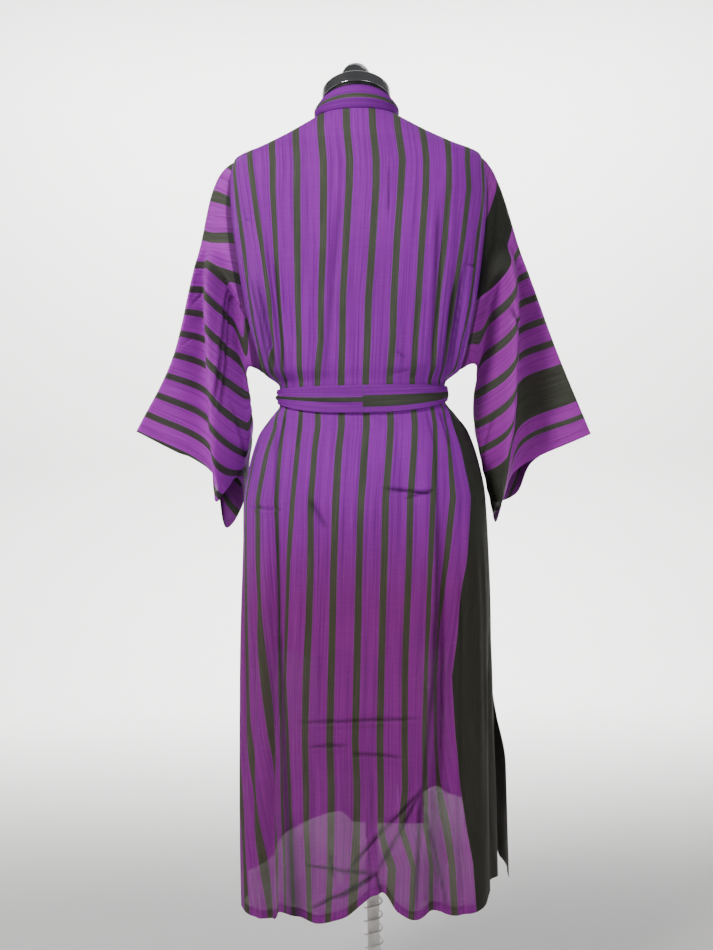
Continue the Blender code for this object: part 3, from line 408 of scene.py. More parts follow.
ARC_HEIGHTS = np.linspace(0.20, 1.52, 331)
ARC_STEPS = 900
ARC_TURNS = np.linspace(0, 1.35 * math.pi, ARC_STEPS)
ring_x, ring_y = ring_point({k: v[:, None] for k, v in sizes_at(ARC_HEIGHTS).items()}, ARC_TURNS)
ARC_LENGTHS = run_along(np.stack([ring_x.T, ring_y.T], axis=-1)).T
ARC_SHARES = np.linspace(0, 1, ARC_STEPS)
TURN_TABLE = np.array([np.interp(ARC_SHARES * row[-1], row, ARC_TURNS) for row in ARC_LENGTHS])


def looked_up(table, row, column):
    """Values between the cells of a table, by fractional row and column."""
    row = np.clip(row, 0, table.shape[0] - 1.001)
    column = np.clip(column, 0, table.shape[1] - 1.001)
    r, c = row.astype(int), column.astype(int)
    a, b = row - r, column - c
    upper = table[r, c] * (1 - b) + table[r, c + 1] * b
    lower = table[r + 1, c] * (1 - b) + table[r + 1, c + 1] * b
    return upper * (1 - a) + lower * a


def arc_row(height):
    """The row of a height in the arc tables, with its fraction."""
    return (height - ARC_HEIGHTS[0]) / (ARC_HEIGHTS[1] - ARC_HEIGHTS[0])


def arc_at(height, turn):
    """Arc length from the centre back to a turn."""
    return looked_up(ARC_LENGTHS, arc_row(height), turn / ARC_TURNS[1])


def turn_at(height, place):
    """The turn at an arc length from the centre back. The length is positive to the left."""
    whole = np.interp(height, ARC_HEIGHTS, ARC_LENGTHS[:, -1])
    return np.sign(place) * looked_up(TURN_TABLE, arc_row(height), np.abs(place) / whole * (ARC_STEPS - 1))


def gathered(share, fullness):
    """Where a share of the cloth lies: even in the middle, drawn together at the side."""
    return share * fullness / (1 + (fullness - 1) * share**2)


def fold_depth(share, height, folds):
    """The sum of long folds, each a bell across the cloth that moves from its place at the top
    to its place at the foot: depth times exp(-(distance / width)^2)."""
    total = np.zeros(np.broadcast(share, height).shape)
    for across_top, across_foot, top, foot, depth, half_width in folds:
        way = np.clip((top - height) / (top - foot), 0, 1)
        middle = across_top + (across_foot - across_top) * way
        if foot < ARMPIT_HEIGHT - 0.1:
            strength = smooth_step(way, 0.0, 0.55)
        else:
            strength = np.sin(math.pi * smooth_step(top - height, 0, top - foot))
        spread = half_width * (0.6 + 0.4 * way)
        total = total + depth * strength * np.exp(-(((share - middle) / spread) ** 2))
    return total


FULL_SHADE_DEPTH = 0.004
SHADE_SHARE = 0.62


def beside_line(x, z, x0, z0, x1, z1):
    """How far from a line each point lies, and how strong a crease on it is there: full along
    the middle, fading to nothing past both ends."""
    length = math.hypot(x1 - x0, z1 - z0)
    ux, uz = (x1 - x0) / length, (z1 - z0) / length
    way = ((x - x0) * ux + (z - z0) * uz) / length
    fade = smooth_step(way, -0.08, 0.18) * (1 - smooth_step(way, 0.72, 1.08))
    return (z - z0) * ux - (x - x0) * uz, fade


def creases(x, z, rows):
    """The sum of short creases, each a narrow valley with a low ridge beside it."""
    total = np.zeros(np.broadcast(x, z).shape)
    for *line, depth, width in rows:
        off, fade = beside_line(x, z, *line)
        valley = np.exp(-((off / width) ** 2))
        ridge = 0.55 * np.exp(-(((off - 1.7 * width) / (1.3 * width)) ** 2))
        total = total + depth * fade * (ridge - valley)
    return total


def crease_shade_lines(x, z, rows):
    """How dark the painted shade in a crease's sharp valley is at each point, from 0 to 1."""
    total = np.zeros(np.broadcast(x, z).shape)
    for *line, depth, width in rows:
        off, fade = beside_line(x, z, *line)
        dark = min(1, depth / FULL_SHADE_DEPTH) * np.exp(-((off / (SHADE_SHARE * width)) ** 2))
        total = np.maximum(total, fade * dark)
    return total


def ripples(across, z, seed, size):
    """Slight unevenness: the sum of ten slanting waves of chosen lengths, from one seed."""
    pick = np.random.default_rng(seed)
    total = np.zeros(np.broadcast(across, z).shape)
    for wide, tall, phase in zip(pick.uniform(0.020, 0.075, 10), pick.uniform(0.15, 0.60, 10),
                                 pick.uniform(0, 2 * math.pi, 10)):
        lean = 1 if phase > math.pi else -1
        total = total + np.sin(2 * math.pi * (across / wide + lean * z / tall) + phase)
    return total * size / math.sqrt(10)


PLEAT_DEPTH = 0.0034
PLEAT_COUNT = 4.5
SIDE_SEAM_EASE = 0.90
WAIST_HEIGHT = 1.040


def gather_pleats(share, height):
    """Pleats that fan out above and below the belt towards the sides: a cosine across the
    cloth, and a finer one close to the belt."""
    share = np.abs(share)
    above = np.exp(-(np.clip(height - BELT_TOP, 0, None) / 0.060) ** 2)
    below = np.exp(-(np.clip(BELT_LOW_SIDE - height, 0, None) / 0.070) ** 2)
    at_side = smooth_step(share, 0.30, 0.60) * (1 - smooth_step(share, SIDE_SEAM_EASE, 1.0))
    free = smooth_step(height - BELT_TOP, 0, 0.03) + smooth_step(BELT_LOW_BACK - height, 0, 0.03)
    wave = np.cos(2 * math.pi * PLEAT_COUNT * share)
    near = np.exp(-(np.clip(np.abs(height - WAIST_HEIGHT) - 0.02, 0, None) / 0.032) ** 2)
    fine = 0.30 * np.cos(2 * math.pi * 2.6 * PLEAT_COUNT * share + 1.2) * near
    early = smooth_step(share, 0.12, 0.40) * (1 - smooth_step(share, SIDE_SEAM_EASE, 1.0))
    return PLEAT_DEPTH * free * (above * below * at_side * wave + fine * early)


def clear_of_belt(height):
    """1 away from the belt, 0 under it, where the cloth is pressed flat."""
    return 1 - smooth_step(height, 1.00, 1.02) * (1 - smooth_step(height, 1.065, 1.085))


def eased(share, height, stand):
    """A panel's folds die away at the yoke and at the side seams."""
    below_yoke = 1 - smooth_step(height, YOKE_HEIGHT - 0.10, YOKE_HEIGHT - 0.01)
    inside_seam = 1 - 0.95 * smooth_step(np.abs(share), SIDE_SEAM_EASE, 1.0)
    return stand * below_yoke * inside_seam


def worn(height, place, stand):
    """Points by height, arc length and stand, with their x before they are moved out."""
    size = sizes_at(height)
    x, y = ring_point(size, turn_at(height, place))
    out_x, out_y = moved_out(size, x, y, stand(x))
    return np.stack([out_x, out_y, height], axis=-1)


def slit_opening(height):
    """How far each panel's side edge stands back from the side seam below the slit's top."""
    return SLIT_OPENING * smooth_step(SLIT_HEIGHT - height, 0, 0.25)


def panel_heights(hem, level_rows, lower_rows):
    """Heights of a panel's points: level rows down to the hips, then even down to the hem."""
    level = np.linspace(YOKE_HEIGHT, HIP_HEIGHT, level_rows, endpoint=False)[:, None] + 0 * hem
    way = np.linspace(0, 1, lower_rows)[:, None]
    return np.concatenate([level, HIP_HEIGHT + (hem - HIP_HEIGHT) * way])


def yoke_points(first_row, top_x, facing):
    """The panel above its first level row: each column runs straight in plan to its place on
    the shoulder seam, and lies on the section at its height."""
    way = np.linspace(0, 1, YOKE_ROWS, endpoint=False)[:, None] ** 2
    ridge = np.linspace(SHOULDER_HEIGHT, NECK_HEIGHT, 400)
    top_z = np.interp(-np.abs(top_x), -sizes_at(ridge)["half_width"], ridge)
    x = top_x + (first_row[:, 0] - top_x) * way
    z = top_z + (YOKE_HEIGHT - top_z) * way
    return np.stack([x, depth_at(sizes_at(z), x, facing), z], axis=-1)


def grid_normals(grid):
    """Unit normals of a grid: the cross product of its two directions."""
    normal = np.cross(np.gradient(grid, axis=1), np.gradient(grid, axis=0))
    return normal / (np.linalg.norm(normal, axis=2, keepdims=True) + 1e-12)


HEM_DEPTH = 0.016
HEM_GAP = 0.0007
ROBE_MIDDLE = (0, 0, 0.9)
MIRRORED = np.array((-1, 1, 1))


def turned_under(grid, maps, middle):
    """A sheet with its last row turned under: rows within the hem's depth of it repeat inside,
    the hem's gap away, in the other order."""
    normal = grid_normals(grid)
    outward = np.sign(np.sum(normal * (grid - middle), axis=2, keepdims=True))
    step = np.linalg.norm(grid[-1] - grid[-2], axis=1).mean()
    back = np.arange(1, max(3, int(round(HEM_DEPTH / step))))
    inside = grid[-1 - back] - (normal * outward)[-1 - back] * HEM_GAP
    fold = grid[-1:] - (normal * outward)[-1:] * HEM_GAP
    return (np.concatenate([grid, fold, inside]),
            [np.concatenate([m, m[-1:], m[-1 - back]]) for m in maps])


def hem_distance(grid):
    """A map with the way along the last row and the distance up to each point from it."""
    down = run_along(grid)
    return np.stack([run_along(grid[-1]) + 0 * down, down[-1] - down], axis=-1)


def grid_mesh(name, grid, maps, material, middle=ROBE_MIDDLE):
    """A mesh object from a grid of points, its faces turned away from the middle, with a UV
    map for each name in maps."""
    rows, columns = grid.shape[:2]
    index = np.arange(rows * columns).reshape(rows, columns)
    corners = [index[:-1, :-1], index[:-1, 1:], index[1:, 1:], index[1:, :-1]]
    normal = grid_normals(grid)
    away = grid - np.array(middle)
    if np.sum(normal * away) < 0:
        corners = corners[::-1]
    quads = np.stack(corners, axis=-1).reshape(-1)
    mesh = bpy.data.meshes.new(name)
    mesh.vertices.add(rows * columns)
    mesh.vertices.foreach_set("co", grid.reshape(-1))
    mesh.loops.add(len(quads))
    mesh.loops.foreach_set("vertex_index", quads)
    mesh.polygons.add(len(quads) // 4)
    mesh.polygons.foreach_set("loop_start", np.arange(0, len(quads), 4))
    mesh.update(calc_edges=True)
    for map_name, values in maps.items():
        layer = mesh.uv_layers.new(name=map_name)
        layer.data.foreach_set("uv", values.reshape(-1, 2)[quads].reshape(-1))
    mesh.shade_smooth()
    mesh.materials.append(material)
    thing = bpy.data.objects.new(name, mesh)
    bpy.context.scene.collection.objects.link(thing)
    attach(thing, "root")
    return thing


def hemmed_sheet(name, grid, cloth_map, painted_shade_map, material, middle=ROBE_MIDDLE):
    """One layer of the cotton with its last row turned under and stitched."""
    grid, maps = turned_under(grid, [cloth_map, hem_distance(grid), painted_shade_map], middle)
    return grid_mesh(name, grid, dict(zip(("cloth", "hem", "worn"), maps)), material, middle)


def doubled(sheet):
    """A sheet of the cotton folded double."""
    layers = sheet.modifiers.new("doubled", "SOLIDIFY")
    layers.thickness, layers.offset = DOUBLE_CLOTH, 0


# The back: one panel of striped cotton from shoulder seams to hem, 0.59 m wide, drawn in by
# the belt. Two deep folds hang from the hips, small pleats fan out at the belt's sides, and
# the skirt is creased where it was tucked. The hem is turned up once.

HEM_COLUMNS = ("across", "height")
BACK_HEM = (
    (-1.00, 0.250),
    (-0.80, 0.262),
    (-0.68, 0.254),
    (-0.56, 0.236),
    (-0.42, 0.229),
    (-0.30, 0.234),
    (-0.21, 0.226),
    (-0.12, 0.239),
    (-0.05, 0.267),
    (-0.01, 0.264),
    (0.07, 0.249),
    (0.14, 0.234),
    (0.28, 0.224),
    (0.37, 0.236),
    (0.48, 0.239),
    (0.54, 0.222),
    (0.68, 0.215),
    (0.80, 0.223),
    (1.00, 0.230),
)
FOLD_COLUMNS = ("across_top", "across_foot", "top", "foot", "depth", "half_width")
BACK_FOLDS = (
    (0.47, 0.62, 0.990, 0.150, -0.024, 0.065),
    (-0.47, -0.30, 0.990, 0.150, -0.022, 0.055),
    (0.33, 0.40, 0.900, 0.150, 0.009, 0.090),
    (-0.60, -0.52, 0.960, 0.150, 0.010, 0.080),
    (0.80, 0.84, 0.900, 0.150, 0.010, 0.090),
    (-0.80, -0.74, 0.800, 0.150, -0.012, 0.080),
    (-0.02, -0.02, 0.620, 0.150, -0.010, 0.110),
    (0.62, 0.50, 1.330, 1.075, -0.004, 0.060),
    (-0.62, -0.52, 1.330, 1.075, -0.004, 0.060),
    (0.74, 0.66, 1.300, 1.075, 0.006, 0.070),
    (-0.74, -0.66, 1.300, 1.075, 0.006, 0.070),
    (0.18, 0.14, 1.250, 1.075, 0.003, 0.090),
    (-0.20, -0.14, 1.250, 1.075, 0.003, 0.090),
)
BACK_FINE_FOLDS = (
    (0.56, 0.50, 1.310, 1.050, -0.0060, 0.022),
    (0.64, 0.58, 1.270, 1.050, -0.0060, 0.020),
    (0.76, 0.66, 1.240, 1.050, -0.0060, 0.020),
    (0.46, 0.40, 1.330, 1.050, -0.0040, 0.022),
    (0.10, 0.20, 1.400, 1.040, -0.0052, 0.034),
    (0.22, 0.28, 1.340, 1.050, -0.0030, 0.018),
    (-0.34, -0.30, 1.300, 1.050, -0.0026, 0.018),
    (-0.50, -0.42, 1.370, 1.040, -0.0050, 0.016),
    (-0.60, -0.48, 1.290, 1.050, -0.0056, 0.020),
    (-0.68, -0.56, 1.280, 1.050, -0.0060, 0.020),
    (-0.78, -0.64, 1.250, 1.050, -0.0056, 0.020),
    (0.40, 0.52, 0.985, 0.240, -0.0052, 0.020),
    (0.58, 0.70, 0.960, 0.350, -0.0046, 0.022),
    (-0.42, -0.36, 0.985, 0.300, -0.0052, 0.018),
    (-0.55, -0.46, 0.975, 0.400, -0.0042, 0.020),
    (0.12, 0.16, 0.930, 0.400, 0.0016, 0.030),
    (-0.16, -0.14, 0.900, 0.420, 0.0016, 0.030),
)
CREASE_COLUMNS = ("x0", "z0", "x1", "z1", "depth", "width")
BACK_CREASES = (
    (-0.104, 0.887, -0.028, 0.897, 0.0046, 0.0034),
    (-0.110, 0.894, -0.060, 0.880, 0.0030, 0.0030),
    (0.184, 0.872, 0.130, 0.866, 0.0024, 0.0030),
    (0.106, 0.535, -0.085, 0.538, 0.0036, 0.0028),
    (0.094, 0.497, 0.033, 0.499, 0.0036, 0.0026),
    (0.029, 0.485, -0.052, 0.478, 0.0036, 0.0026),
    (0.086, 0.880, 0.060, 0.836, 0.0030, 0.0060),
    (-0.078, 0.427, 0.044, 0.300, 0.0044, 0.0032),
    (-0.078, 0.427, -0.006, 0.296, 0.0044, 0.0032),
    (-0.078, 0.427, -0.064, 0.226, 0.0056, 0.0038),
    (-0.078, 0.427, -0.117, 0.231, 0.0046, 0.0034),
    (-0.005, 0.296, 0.107, 0.315, 0.0040, 0.0032),
    (-0.005, 0.296, 0.060, 0.261, 0.0044, 0.0034),
    (-0.005, 0.296, 0.105, 0.243, 0.0040, 0.0034),
    (-0.004, 0.300, -0.020, 0.240, 0.0044, 0.0040),
    (0.066, 0.330, 0.060, 0.292, 0.0030, 0.0030),
    (-0.054, 1.115, -0.070, 1.102, 0.0026, 0.0026),
    (-0.040, 1.078, -0.080, 1.086, 0.0020, 0.0030),
    (0.184, 1.331, 0.171, 1.329, 0.0026, 0.0024),
    (-0.049, 1.408, -0.046, 1.329, 0.0030, 0.0026),
    (-0.128, 1.351, -0.108, 1.059, 0.0034, 0.0044),
    (0.136, 1.268, 0.123, 1.062, 0.0036, 0.0044),
    (0.167, 1.239, 0.134, 1.062, 0.0034, 0.0050),
    (-0.151, 1.224, -0.124, 1.059, 0.0036, 0.0046),
    (-0.164, 1.248, -0.132, 1.058, 0.0034, 0.0050),
    (-0.168, 1.252, -0.188, 1.252, 0.0026, 0.0024),
)
# Lines of painted shade along the deep folds and pleats; they only darken the colour.
BACK_FOLD_SHADE_LINES = (
    (0.140, 1.000, 0.142, 0.800, 0.0022, 0.0050),
    (0.141, 0.860, 0.138, 0.640, 0.0034, 0.0060),
    (0.139, 0.700, 0.134, 0.460, 0.0040, 0.0070),
    (0.136, 0.540, 0.130, 0.300, 0.0040, 0.0100),
    (0.131, 0.400, 0.122, 0.190, 0.0044, 0.0170),
    (0.128, 0.310, 0.116, 0.190, 0.0044, 0.0200),
    (-0.112, 1.000, -0.113, 0.800, 0.0026, 0.0040),
    (-0.113, 0.860, -0.105, 0.640, 0.0040, 0.0050),
    (-0.107, 0.710, -0.094, 0.520, 0.0044, 0.0056),
    (-0.098, 0.590, -0.078, 0.400, 0.0044, 0.0056),
    (0.027, 1.360, 0.048, 1.200, 0.0014, 0.0080),
    (0.043, 1.240, 0.064, 1.050, 0.0020, 0.0080),
    (0.150, 1.310, 0.128, 1.055, 0.0026, 0.0044),
    (0.178, 1.250, 0.142, 1.055, 0.0034, 0.0044),
    (-0.140, 1.240, -0.116, 1.055, 0.0026, 0.0040),
    (-0.176, 1.290, -0.139, 1.060, 0.0034, 0.0040),
    (0.100, 1.020, 0.106, 0.960, 0.0026, 0.0030),
    (0.125, 1.020, 0.140, 0.950, 0.0032, 0.0030),
    (-0.100, 1.020, -0.112, 0.960, 0.0026, 0.0030),
    (-0.122, 1.020, -0.136, 0.960, 0.0032, 0.0030),
)
STRIPE_TRACK_COLUMNS = ("height", "4", "3", "2", "1", "0", "-1", "-2", "-3", "-4", "-5", "-6")
STRIPE_TRACKS = (
    (1.480, 0.178, 0.140, 0.100, 0.059, 0.017, -0.025, -0.065, -0.105, -0.145, -0.182, -0.211),
    (1.419, 0.173, 0.136, 0.097, 0.055, 0.013, -0.029, -0.071, -0.109, -0.146, -0.176, -0.203),
    (1.375, 0.167, 0.137, 0.098, 0.055, 0.015, -0.028, -0.067, -0.107, -0.144, -0.177, -0.203),
    (1.291, 0.156, 0.135, 0.099, 0.057, 0.022, -0.021, -0.059, -0.099, -0.136, -0.165, -0.190),
    (1.197, 0.147, 0.132, 0.100, 0.063, 0.029, -0.012, -0.052, -0.092, -0.124, -0.151, -0.175),
    (1.133, 0.143, 0.129, 0.100, 0.065, 0.031, -0.009, -0.049, -0.086, -0.118, -0.142, -0.160),
    (1.070, 0.134, 0.125, 0.098, 0.073, 0.034, -0.005, -0.043, -0.080, -0.109, -0.126, -0.134),
    (0.998, 0.143, 0.129, 0.101, 0.073, 0.035, -0.005, -0.043, -0.082, -0.115, -0.134, -0.147),
    (0.959, 0.155, 0.134, 0.105, 0.079, 0.040, -0.001, -0.040, -0.079, -0.114, -0.135, -0.158),
    (0.880, 0.171, 0.141, 0.114, 0.086, 0.046, 0.006, -0.032, -0.071, -0.107, -0.139, -0.172),
    (0.786, 0.173, 0.141, 0.124, 0.087, 0.051, 0.011, -0.028, -0.067, -0.101, -0.128, -0.162),
    (0.693, 0.173, 0.141, 0.129, 0.091, 0.055, 0.015, -0.023, -0.061, -0.096, -0.116, -0.148),
    (0.600, 0.171, 0.142, 0.133, 0.097, 0.059, 0.019, -0.019, -0.056, -0.090, -0.104, -0.137),
    (0.507, 0.169, 0.140, 0.128, 0.101, 0.063, 0.023, -0.015, -0.054, -0.085, -0.105, -0.139),
    (0.430, 0.163, 0.138, 0.126, 0.101, 0.062, 0.022, -0.015, -0.053, -0.085, -0.110, -0.145),
    (0.368, 0.159, 0.136, 0.125, 0.102, 0.064, 0.024, -0.014, -0.045, -0.085, -0.119, -0.150),
    (0.307, 0.154, 0.135, 0.124, 0.100, 0.066, 0.030, -0.032, -0.063, -0.094, -0.124, -0.157),
    (0.230, 0.150, 0.136, 0.122, 0.099, 0.072, 0.036, -0.026, -0.058, -0.092, -0.126, -0.160),
)
WIDE_OLIVE_EDGE = -0.2315
WIDE_OLIVE_TOP = (1.030, 1.050)
LEAST_STRIPE_STEP = 0.004
TRACK_REACH = 0.42
TRACK_STEP = 0.002
BEYOND_TRACKS = 0.20
BACK_COLUMNS = 225
BACK_ROWS = (140, 255)
RIPPLE_SIZE = 0.0007


def place_of(height, x):
    """The arc length at which a section passes x."""
    row = int(round(arc_row(min(height, YOKE_HEIGHT))))
    quarter = ARC_TURNS <= math.pi / 2
    return np.sign(x) * np.interp(np.abs(x), ring_x[row, quarter], ARC_LENGTHS[row, quarter])


def across_cloth(height, place):
    """How far across the flat cloth each point of the back lies, so that the stripes pass the
    places in the table: between two tracked stripes by proportion, beyond them at full size."""
    tracks = np.array(STRIPE_TRACKS)
    numbers = np.array([int(name) for name in STRIPE_TRACK_COLUMNS[1:]]) * STRIPE_PITCH
    least = LEAST_STRIPE_STEP * np.arange(len(numbers))
    columns = np.arange(-TRACK_REACH, TRACK_REACH + TRACK_STEP / 2, TRACK_STEP)
    table = []
    for row in tracks:
        known = np.minimum.accumulate(place_of(row[0], row[1:]) - least) + least
        known, values = (np.concatenate([[line[0] + BEYOND_TRACKS], line, [line[-1] - BEYOND_TRACKS]])
                         for line in (known, numbers))
        table.append(np.interp(columns, known[::-1], values[::-1]))
    row_at = np.interp(-height, -tracks[:, 0], np.arange(len(tracks)))
    return looked_up(np.array(table), row_at, (place + TRACK_REACH) / TRACK_STEP)


def back_panel():
    """The back's points, its flat-cloth map and its map of painted shade along creases and fold
    lines, rows from shoulder to hem, columns from right to left."""
    share = np.linspace(-1, 1, BACK_COLUMNS)[None, :]
    height = panel_heights(from_table(share, BACK_HEM), *BACK_ROWS)
    share = share + 0 * height
    side = arc_at(height, armhole_turn(height)) - CLOTH_GAP / 2 - slit_opening(height)
    place = side * gathered(share, np.maximum(HALF_BACK / side, 1.0))

    def stand(x):
        folds = fold_depth(share, height, BACK_FOLDS + BACK_FINE_FOLDS) + gather_pleats(share, height)
        small = creases(x, height, BACK_CREASES) + ripples(share * HALF_BACK, height, 3, RIPPLE_SIZE)
        return eased(share, height, folds + small * clear_of_belt(height))

    lower = worn(height, place, stand)
    upper = yoke_points(lower[0], share[0] * SHOULDER_HALF_WIDTH, 1)
    upper_place = place_of(YOKE_HEIGHT, upper[:, :, 0])
    across = np.concatenate([across_cloth(upper[:, :, 2], upper_place), across_cloth(height, place)])
    grid = np.concatenate([upper, lower])
    # Painted shade along the sharp creases and the fold lines.
    creased = crease_shade_lines(grid[:, :, 0], grid[:, :, 2], BACK_CREASES + BACK_FOLD_SHADE_LINES)
    return grid, np.stack([across, grid[:, :, 2]], axis=-1), np.stack([creased, 0 * creased], axis=-1)


def back_stripes(paint, across, along):
    """Even stripes, and below the belt a wide plain olive border along the right side."""
    border = stripe_edge(paint, across, WIDE_OLIVE_EDGE) * (1 - paint.step(along, *WIDE_OLIVE_TOP))
    return bordered_stripes(paint, across, along, border)


robe_back = hemmed_sheet("robe_back", *back_panel(),
                         striped_cotton("robe_back_cotton", back_stripes, low_painted_shade=SKIRT_PAINTED_SHADE))
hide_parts("back_panel")


# The fronts: one panel each side of the same cotton, the left wrapped over the right below
# the bust. The right one is plain olive towards its side seam. Both hems rise to the centre.

FRONT_EDGE_COLUMNS = ("height", "seam")
FRONT_EDGE = (
    (0.200, -0.050),
    (0.600, -0.045),
    (0.950, -0.040),
    (1.040, -0.034),
    (1.120, -0.010),
    (1.200, 0.024),
    (1.300, 0.056),
    (1.400, 0.080),
)
FRONT_HEM_LEFT = ((0.00, 0.300), (0.22, 0.301), (0.29, 0.321), (0.56, 0.294), (0.80, 0.248), (1.00, 0.243))
FRONT_HEM_RIGHT = ((0.00, 0.392), (0.20, 0.387), (0.37, 0.351), (0.47, 0.367), (0.54, 0.353), (0.78, 0.348),
                   (0.84, 0.262), (1.00, 0.243))
FRONT_FOLDS = (
    (0.66, 0.70, 0.990, 0.150, -0.018, 0.075),
    (0.84, 0.87, 0.900, 0.150, 0.009, 0.080),
    (0.66, 0.62, 1.300, 1.075, 0.006, 0.080),
)
FRONT_FINE_FOLDS = (
    (0.60, 0.54, 1.300, 1.070, -0.0026, 0.022),
    (0.76, 0.66, 1.240, 1.070, -0.0028, 0.020),
    (0.48, 0.50, 1.220, 1.070, -0.0018, 0.020),
    (0.56, 0.60, 0.985, 0.300, -0.0028, 0.024),
    (0.74, 0.80, 0.960, 0.300, -0.0026, 0.024),
)
CENTRE_FOLDS = (
    (0.030, 0.045, 0.960, 0.150, 0.008, 0.050),
    (-0.050, -0.060, 0.900, 0.150, -0.006, 0.045),
)
BAND_GAP = 0.0009
UNDER_DEPTH = 0.0045
CROSSING_HALF_WIDTH = 0.098
CROSSING_FADE = 0.037
FLAP_SWING_LEFT = 0.007
FLAP_SWING_RIGHT = 0.021
OLIVE_BORDER = 0.1508
FRONT_COLUMNS = 161
FRONT_ROWS = (125, 140)


def crossing(x):
    """1 where the fronts cross, 0 beside it."""
    return 1 - smooth_step(x, CROSSING_HALF_WIDTH, CROSSING_HALF_WIDTH + CROSSING_FADE)


def crossing_stand(x, height, over):
    """How far a front and its band stand out near the centre: both follow the same folds there,
    so that one lies flat on the other, and the under one lies deeper. x grows to its own side."""
    out = fold_depth(x if over else -x, height, CENTRE_FOLDS) * crossing(np.abs(x))
    return out if over else out - UNDER_DEPTH * crossing(x) * smooth_step(1.34 - height, 0, 0.10)


def front_panel(over):
    """A front's points as on the left side, and its flat-cloth map, columns from band to side.
    The right front is worked out so and then mirrored."""
    share = np.linspace(0, 1, FRONT_COLUMNS)[None, :]
    height = panel_heights(from_table(share, FRONT_HEM_LEFT if over else FRONT_HEM_RIGHT), *FRONT_ROWS)
    share = share + 0 * height
    side = arc_at(height, math.pi - armhole_turn(height)) + CLOTH_GAP / 2 + slit_opening(height)
    seam = arc_at(height, math.pi + 0 * height) - from_table(height, FRONT_EDGE) - BAND_GAP / 2
    span = seam - side
    cut = np.where(height < ARMPIT_HEIGHT, FRONT_WIDTH, span)
    place = seam - span * gathered(share, np.maximum(cut / span, 1.0))
    swing = FLAP_SWING_LEFT if over else FLAP_SWING_RIGHT

    def stand(x):
        folds = fold_depth(share, height, FRONT_FOLDS + FRONT_FINE_FOLDS) + gather_pleats(share, height)
        apart = smooth_step(np.abs(x), CROSSING_HALF_WIDTH - 0.01, CROSSING_HALF_WIDTH + CROSSING_FADE)
        small = ripples(share * FRONT_WIDTH, height, 5 if over else 6, RIPPLE_SIZE)
        folds = eased(share, height, folds + small * clear_of_belt(height) * (0.3 + 0.7 * apart))
        swung = smooth_step(share, 0.72, 1.0) * smooth_step(SLIT_HEIGHT - height, -0.04, 0.10)
        return folds + swing * swung + crossing_stand(x, height, over)

    lower = worn(height, place, stand)
    top_x = NECK_HALF_WIDTH + (SHOULDER_HALF_WIDTH - NECK_HALF_WIDTH) * share[0]
    grid = np.concatenate([yoke_points(lower[0], top_x, -1), lower])
    return grid, np.stack([FRONT_WIDTH * (1 - share[0]) + 0 * grid[:, :, 2], grid[:, :, 2]], axis=-1)


def olive_side_stripes(paint, across, along):
    """Even stripes, but plain olive for a wide border from the side seam."""
    return bordered_stripes(paint, across, along, stripe_edge(paint, across, OLIVE_BORDER))


for side_name, over, pattern in (("left", True, warp_stripes), ("right", False, olive_side_stripes)):
    grid, cloth_map = front_panel(over)
    grid = grid if over else grid * MIRRORED
    robe_front = hemmed_sheet(
        f"robe_front_{side_name}", grid, cloth_map, 0 * cloth_map,
        striped_cotton(f"robe_front_cotton_{side_name}", pattern, low_painted_shade=SKIRT_PAINTED_SHADE))
    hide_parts(f"front_panel_{side_name}")


# The neckband: one long band of the cotton cut along a stripe and folded double, sewn on along
# the fronts' edges and round the back of the neck, where it stands up.

BAND_WIDTH = 0.045
BAND_TOP_RADIUS = 0.0615
BAND_TOP_CENTRE = -0.001
BAND_TOP_DEPTH = 0.0625
BAND_TOP_SIDE = 1.534
BAND_TOP_BACK = 1.5515
BAND_EDGE_BOW = (0.006, -0.018, 0.010)
BAND_MIDDLE_BOW = (0.006, -0.004, 0.0)
BAND_COLUMNS = 17
BAND_ROWS = 260
BAND_YOKE_ROWS = 36
BAND_NECK_ROWS = 70
BAND_STRIPE = (0.0195, 0.0275)


def through_three(first, middle, last, count):
    """A parabola through three lines of points, sampled evenly across."""
    a = np.linspace(0, 1, count)[None, :, None]
    first, middle, last = (line[:, None, :] for line in (first, middle, last))
    return first * (1 - a) * (1 - 2 * a) + middle * 4 * a * (1 - a) + last * a * (2 * a - 1)


def band_down_front(over):
    """The band on the left front, rows from the shoulder to the hem, columns from its seam to
    its free edge: above the yoke through three guide lines, below it on the worn surface."""
    foot = (FRONT_HEM_LEFT if over else FRONT_HEM_RIGHT)[0][1]
    across = np.linspace(BAND_GAP / 2, BAND_WIDTH, BAND_COLUMNS)[None, :]
    height = np.linspace(YOKE_HEIGHT, foot, BAND_ROWS)[:, None] + 0 * across
    place = arc_at(height, math.pi + 0 * height) - (from_table(height, FRONT_EDGE) - across)
    lower = worn(height, place, lambda x: crossing_stand(x, height, over))
    way = np.linspace(0, 1, BAND_YOKE_ROWS, endpoint=False)[:, None] ** 2
    seam_x = NECK_HALF_WIDTH + (lower[0, 0, 0] - NECK_HALF_WIDTH) * way
    seam_z = NECK_HEIGHT + (YOKE_HEIGHT - NECK_HEIGHT) * way
    seam_line = np.concatenate([seam_x, depth_at(sizes_at(seam_z), seam_x, -1), seam_z], axis=1)
    start = np.array([BAND_TOP_RADIUS, BAND_TOP_CENTRE, BAND_TOP_SIDE])
    free_line = start + (lower[0, -1] - start) * way + np.array(BAND_EDGE_BOW) * np.sin(math.pi * way)
    middle = (seam_line + free_line) / 2 + np.array(BAND_MIDDLE_BOW) * (1 - way)
    return np.concatenate([through_three(seam_line, middle, free_line, BAND_COLUMNS), lower])


